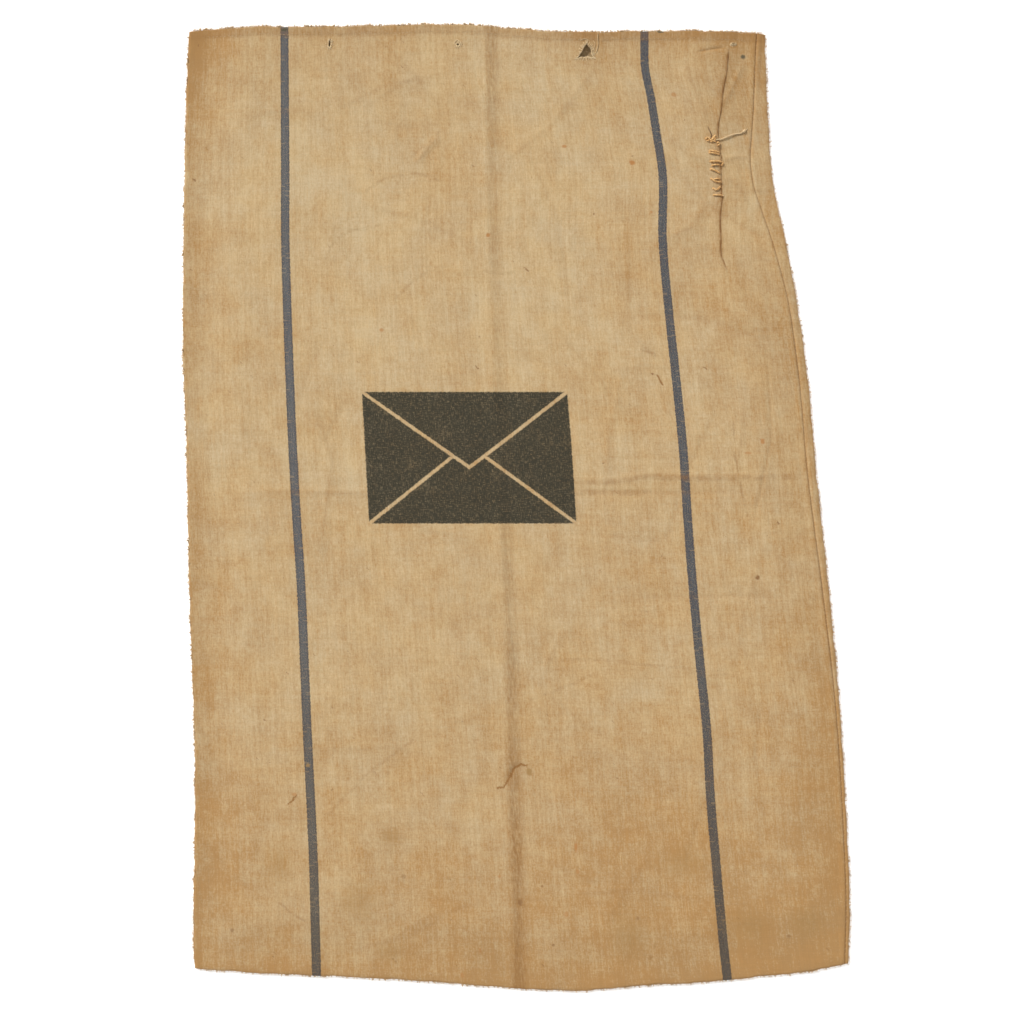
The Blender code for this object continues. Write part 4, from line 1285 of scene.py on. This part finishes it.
def make_darning(string, shadow_line_string, pale_string):
    """The tuck's stitches, their knot, a thin dark string laid as a painted shadow line beside the knot, and
    the long tail.
    """
    stitches = Strands()
    for points, radius in STITCHES:
        stitches.tube(laid_path(points, radius, bury=0.0032, arch=0.0005), radius, 12, 0.0062)
    stitches.finish("repair_string_stitches", string, "repair_string", "upper_right", "repair_stitches")

    loops = Strands()
    for k, points in enumerate(KNOT_LOOPS):
        path = laid_path(points, 0.001, bury=0.0012, arch=0.0004 + 0.0004 * (k == 1))
        loops.tube(path, 0.00105, 12, 0.0056)
    loops.finish("repair_string_knot", string, "repair_string", "upper_right", "repair_knot")

    # the painted shadow line, as a thin dark string
    shadow_strand = Strands()
    path = laid_path(SHADOW_LINE_ROUTE, 0.0006, bury=0.0002)
    taper = 0.0006 * (0.35 + 0.65 * smooth(np.linspace(0, 1, len(path)) / 0.35))
    shadow_strand.tube(path, taper, 10, 0.0046)
    shadow_strand.finish("repair_shadow_line", shadow_line_string, "repair_string", "upper_right")

    route = curve_through(np.column_stack([np.array(TAIL_ROUTE), np.zeros(len(TAIL_ROUTE))]), 0.0005)
    share = np.linspace(0, 1, len(route))
    lifted = TAIL_R * (0.95 + 1.1 * np.sin(math.pi * share) ** 2)
    route[:, 2] = front_height(route[:, 0], route[:, 1]) + HALF + lifted
    tail = Strands()
    tail.tube(route, TAIL_R, 12, 0.004)
    tail = tail.finish("repair_string_tail", pale_string, "tail_string", "upper_right", "repair_tail")

    end = route[-1]
    wraps = Strands()
    angle = np.linspace(0, 2.6 * math.tau, 90)
    slide = np.linspace(-0.0012, 0.0012, 90)
    heading = (route[-1] - route[-8]) / np.linalg.norm(route[-1] - route[-8])
    beside = np.cross(heading, (0, 0, 1.0))
    beside /= np.linalg.norm(beside)
    above = np.cross(beside, heading)
    centre = end + heading * 0.0016 + above * 0.0003
    winding = (centre + np.outer(slide, heading) + np.outer(0.00105 * np.cos(angle), beside)
               + np.outer(0.00105 * np.sin(angle), above))
    wraps.tube(winding, 0.00062, 10, 0.0036)
    wraps.tube(np.array([centre + heading * t for t in np.linspace(-0.0022, 0.0042, 14)]),
               np.linspace(0.00072, 0.00035, 14), 10, 0.0036)
    tail_knot = wraps.finish("repair_tail_end_knot", pale_string, "tail_string", "upper_right",
                             "repair_tail_knot")
    [tuple(p) for p in route[::2]] + [tuple(route[-1])]


def whip_ring(strands, loop, reach, radius, seed, turns):
    """Thread whipped over the edge of a hole: each turn rises out of it and dives outside."""
    rng = np.random.default_rng(seed)
    loop = np.array(loop)
    middle = loop.mean(axis=0)
    closed = np.vstack([loop, loop[:1]])
    run = np.concatenate([[0], np.cumsum(np.linalg.norm(np.diff(closed, axis=0), axis=1))])
    for k in range(turns):
        at = (k + rng.uniform(-0.2, 0.2)) / turns * run[-1] % run[-1]
        foot = np.array([np.interp(at, run, closed[:, 0]), np.interp(at, run, closed[:, 1])])
        out = foot - middle
        out /= max(np.linalg.norm(out), 1e-9)
        out = np.array(turned(*out, rng.normal(0, 0.22)))
        far = foot + out * reach * rng.uniform(0.75, 1.25)
        near = foot - out * 0.0003
        t = np.linspace(0, 1, 12)
        flat = near[None] * (1 - t[:, None]) + far[None] * t[:, None]
        z = front_height(flat[:, 0], flat[:, 1]) + HALF
        z += radius * 0.7 - 0.0014 * (1 - smooth(t / 0.16)) - 0.0007 * (1 - smooth((1 - t) / 0.2))
        strands.tube(np.column_stack([flat, z]), radius * rng.uniform(0.8, 1.15), 6, 0.003)


# how far out each front eyelet is whipped, the thread's radius, and its turns
WHIPPING = ((0.0034, 0.00034, 30), (0.0028, 0.00036, 20), (0.004, 0.00036, 66), (0.0019, 0.0003, 13))
# threads hanging loose at the front eyelets: route, height, bury, arch, radius and pitch of the laid path
LOOSE_THREADS = {
    1: ((((-0.0648, 0.4796), (-0.0628, 0.4826), (-0.0606, 0.4836), (-0.0592, 0.4806)),
         0.0004, 0.0006, 0.0, 0.0004, 0.0028),
        (((-0.0592, 0.4832), (-0.0571, 0.48), (-0.0562, 0.4768)), 0.0003, 0.0006, 0.0, 0.00032, 0.0028)),
    2: ((((0.0845, 0.4925), (0.0838, 0.486), (0.0842, 0.48), (0.0832, 0.474), (0.0815, 0.469)),
         0.00035, 0.0005, 0.0006, 0.00034, 0.0028),
        (((0.079, 0.483), (0.0808, 0.48), (0.0806, 0.4762), (0.079, 0.4735)),
         0.0003, 0.0005, 0.0004, 0.0003, 0.0028),
        (((0.0655, 0.483), (0.069, 0.4842), (0.073, 0.4838), (0.0762, 0.4815)),
         0.0003, 0.0005, 0.0003, 0.00032, 0.0028)),
    3: ((((0.2215, 0.4812), (0.2225, 0.4795), (0.2248, 0.4789), (0.2275, 0.4803)),
         0.0005, 0.0008, 0.0003, 0.00048, 0.003),),
}


def make_eyelets(pale):
    """Four eyelets whipped with pale thread in the front hem, and four in the back one."""
    sides = ("upper_left", "upper_left", "upper_right", "upper_right")
    for k, (hole, (reach, radius, turns)) in enumerate(zip(FRONT_HOLES, WHIPPING)):
        ring = Strands()
        whip_ring(ring, hole, reach, radius, 50 + k, turns)
        for points, sunk, bury, arch, radius, pitch in LOOSE_THREADS.get(k, ()):
            ring.tube(laid_path(points, sunk, bury, arch), radius, 8, pitch)
        ring.finish(f"eyelet_front_{k + 1}", pale, "eyelet_thread", sides[k], f"front_eyelet_{k + 1}")
    for k, hole in enumerate(BACK_HOLES):
        ring = Strands()
        rng = np.random.default_rng(70 + k)
        middle = np.array(hole).mean(axis=0)
        for turn in range(18):
            angle = math.tau * turn / 18 + rng.normal(0, 0.05)
            out = np.array([math.cos(angle), math.sin(angle)])
            t = np.linspace(0, 1, 12)
            reach = rng.uniform(0.0034, 0.0044)
            inner = 0.0002 if k == 2 else 0.0009
            flat = middle + np.outer(inner + (reach - inner) * t, out)
            z = 0.0004 + 0.0011 * (1 - smooth(t / 0.18)) + 0.0006 * (1 - smooth((1 - t) / 0.2))
            z += back_relief(flat[:, 0], flat[:, 1])
            ring.tube(np.column_stack([flat, z]), 0.00032, 6, 0.003)
        ring.finish(f"eyelet_back_{k + 1}", pale, "eyelet_thread", "upper_half", f"back_eyelet_{k + 1}")


def running_stitches(xs, line, height, stitch, radius, seed):
    """Short straight stitches along y = line(x), each dipping into the cloth at both ends."""
    rng = np.random.default_rng(seed)
    strands = Strands()
    for x in xs:
        half = stitch / 2 * rng.uniform(0.8, 1.15)
        t = np.linspace(-1, 1, 9)
        along = x + half * t
        y = line(along) + rng.normal(0, 0.0002) + half * t * rng.normal(0, 0.08)
        z = height(along, y, 1 - t ** 6)
        strands.tube(np.column_stack([along, y, z]), radius, 6, 0.0022)
    return strands


def seam_stitches(ys, line, half, height, lean, radius, seed):
    """Small slanting stitches across a seam."""
    rng = np.random.default_rng(seed)
    strands = Strands()
    for y in ys:
        t = np.linspace(-1, 1, 9)
        x = float(line(y)) + half * t
        along = y + lean * t * rng.uniform(0.7, 1.3)
        z = height(x, along, 1 - t ** 6)
        strands.tube(np.column_stack([x, along, z]), radius, 6, 0.0022)
    return strands


def make_stitches(thread):
    """Hem stitches at the mouth, and the side seams' thread where it shows in the seams."""
    above = lambda x, y, up: front_height(x, y) + HALF - 0.0004 + 0.00046 * up
    hem_line = lambda x: mouth_edge(x) - HEM
    edge = float(crease_line(0.49))
    for zone, low, high in (("upper_left", HEM_ENDS[0], edge - 0.002),
                            ("upper_right", edge + 0.002, HEM_ENDS[1])):
        running_stitches(np.arange(low, high, HEM_PITCH), hem_line, above, 0.0022, 0.00019, 81).finish(
            "hem_stitches_front_" + zone[6:], thread, "sewing_thread", zone, "front_hem_thread")
    below = lambda x, y, up: 0.001 - 0.00066 * up + np.minimum(back_relief(x, y), 0.004)
    running_stitches(np.arange(*HEM_ENDS, HEM_PITCH), hem_line, below, 0.0027, 0.00026, 82).finish(
        "hem_stitches_back", thread, "sewing_thread", "upper_half", "back_hem_thread")

    rows = np.arange(-0.462, 0.487, SEAM_PITCH)
    lower, upper = rows[rows < HINGE_Y - 0.002], rows[rows > HINGE_Y + 0.002]
    for side, half, part, zone, line, width, height, seed in (
        ("right", "lower", lower, "lower", groove, 0.001, above, 83),
        ("right", "upper", upper, "upper_right", groove, 0.001, above, 83),
        ("left", "lower", lower, "lower", left_seam, 0.0012, below, 84),
        ("left", "upper", upper, "upper_half", left_seam, 0.0012, below, 84),
    ):
        seam_stitches(part, line, width, height, 0.0009, 0.00026, seed).finish(
            f"seam_stitches_{side}_{half}", thread, "sewing_thread", zone, f"{side}_seam_thread_{half}")


def make_allowances(finish):
    """The two selvedges sewn together inside each side seam, frayed along their free edge."""
    y = np.linspace(-0.46, 0.486, 260)
    across = np.linspace(0, 1, 9)
    for side, line, way in (("left", left_seam, 1), ("right", groove, -1)):
        width = 0.0095 + 0.0009 * waves(y, 0.018, 90 + way) + 0.0005 * waves(y, 0.004, 93 + way)
        x = line(y)[:, None] + way * (0.0008 + across[None] * width[:, None])
        rows = np.repeat(y[:, None], len(across), axis=1)
        z = 0.002 + 0.00012 * ripple(x, rows, 0.007, 0.013, 95 + way)
        middle = np.stack([x, rows, z], axis=2)[:, ::way]
        piece = thick_cloth(f"seam_allowance_{side}", middle, normals_of(middle), np.ones((259, 8), bool),
                            middle[..., 0] + 5 * way, middle[..., 1], np.zeros((259, 8)),
                            np.zeros(x.shape), np.zeros(x.shape), finish)
        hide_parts(f"{side}_seam_allowance_lower", f"{side}_seam_allowance_upper")
        follow(piece, "lower")


def make_fuzz(finish):
    """Loose fibre ends all round the edges."""
    rng = np.random.default_rng(101)

    def side_hairs(line, way, low, high):
        count = int((high - low) * EDGE_HAIRS)
        y = rng.uniform(low, high, count)
        angle = rng.uniform(-1.1, 1.25, count)
        x = line(y) + way * (-HALF - 0.0009 + (HALF + 0.00095) * np.cos(angle))
        z = EQUATOR + 0.00175 * np.sin(angle)
        heading = np.column_stack([way * np.cos(angle), rng.normal(0, 0.7, count), 0.8 * np.sin(angle)])
        return np.column_stack([x, y, z]), heading

    def end_hairs(line, way, ends, density, z_low, z_high):
        low, high = ends
        count = int((high - low) * density)
        x = rng.uniform(low, high, count)
        y = line(x) - way * 0.0002
        share = rng.uniform(0, 1, count)
        z = z_low(x) + (z_high(x) - z_low(x)) * share
        sideways = rng.normal(0, 0.7, count)
        heading = np.column_stack([sideways, np.full(count, float(way)), rng.normal(0.1, 0.5, count)])
        return np.column_stack([x, y, z]), heading

    def grown(name, groups):
        base = np.concatenate([g[0] for g in groups])
        heading = np.concatenate([g[1] for g in groups])
        length = np.clip(rng.lognormal(math.log(0.0012), 0.55, len(base)), 0.0004, 0.005)
        radius = rng.uniform(0.00006, 0.00013, len(base))
        # one in a few is the cut end of a thread: short and thick
        tuft = rng.uniform(0, 1, len(base)) < 0.4
        length = np.where(tuft, rng.uniform(0.0012, 0.0028, len(base)), length)
        radius = np.where(tuft, rng.uniform(0.00034, 0.00062, len(base)), radius)
        below = base[:, 2] + heading[:, 2] * length < 0.0002
        heading[:, 2] = np.where(below, np.abs(heading[:, 2]), heading[:, 2])
        base[:, 2] = np.maximum(base[:, 2], 0.0002)
        return fibres(name, base, heading, length, radius, 7 + len(base), finish)

    level = lambda z: (lambda x: np.full(x.shape, z))
    lower = grown("edge_fibres_lower", [
        side_hairs(left_edge, -1, -0.474, HINGE_Y), side_hairs(right_edge, 1, -0.468, HINGE_Y),
        end_hairs(bottom_edge, -1, (-0.33, 0.343), EDGE_HAIRS, level(0.0008), level(0.0032))])
    follow(lower, "lower")
    upper = grown("edge_fibres_upper", [
        side_hairs(left_edge, -1, HINGE_Y, 0.49), side_hairs(right_edge, 1, HINGE_Y, 0.49)])
    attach(upper, "upper_half")
    hem_low = lambda x: front_height(x, mouth_edge(x) - 0.001) - 0.0018
    hem_high = lambda x: front_height(x, mouth_edge(x) - 0.001) + 0.0003
    edge = float(crease_line(0.5))
    for side, ends in (("left", (MOUTH_ENDS[0], edge)), ("right", (edge, MOUTH_ENDS[1]))):
        hairs = end_hairs(mouth_edge, 1, ends, MOUTH_HAIRS, hem_low, hem_high)
        follow(grown(f"mouth_fibres_{side}", [hairs]), f"upper_{side}")
    hairs = end_hairs(mouth_edge, 1, MOUTH_ENDS, BACK_HAIRS, level(0.0006), level(0.0022))
    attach(grown("mouth_fibres_back", [hairs]), "upper_half")


def main():
    set_stage()
    face, lining = linen("linen_face", True), linen("linen_inner", False)
    lower, left, right = build_front([face, lining])
    back = build_back([face, lining])
    for piece, zone, *replaced in (
        (lower, "lower", "front_lower", "front_crease_strip", "left_edge_turn_lower",
         "right_edge_turn_lower", "bottom_fold"),
        (left, "upper_left", "front_upper", "left_edge_turn_upper", "front_mouth_hem"),
        (right, "upper_right", "front_upper", "right_edge_turn_upper", "front_mouth_hem"),
        (back, "lower", "back_lower", "back_upper", "back_mouth_hem"),
    ):
        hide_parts(*replaced)
        follow(piece, zone)

    string = thread_material("darning_string", (0.8, 0.51, 0.22), (0.56, 0.3, 0.1), 2, 6.2)
    # dark string for the painted shadow line
    shadow_line_string = thread_material("shadow_line_string", (0.42, 0.25, 0.11), (0.16, 0.09, 0.04), 2, 4.6)
    pale_string = thread_material("pale_string", (0.86, 0.69, 0.43), (0.62, 0.43, 0.22), 2, 4.0)
    make_darning(string, shadow_line_string, pale_string)
    make_eyelets(thread_material("eyelet_thread", (0.92, 0.74, 0.45), (0.74, 0.53, 0.28), 2, 3.0))
    make_stitches(thread_material("sewing_thread", (0.64, 0.47, 0.27), (0.52, 0.36, 0.19), 2, 2.2))
    make_allowances([lining, lining])
    make_fuzz(thread_material("fibre", (0.66, 0.48, 0.28), (0.44, 0.29, 0.14), 1, 9.0))


main()
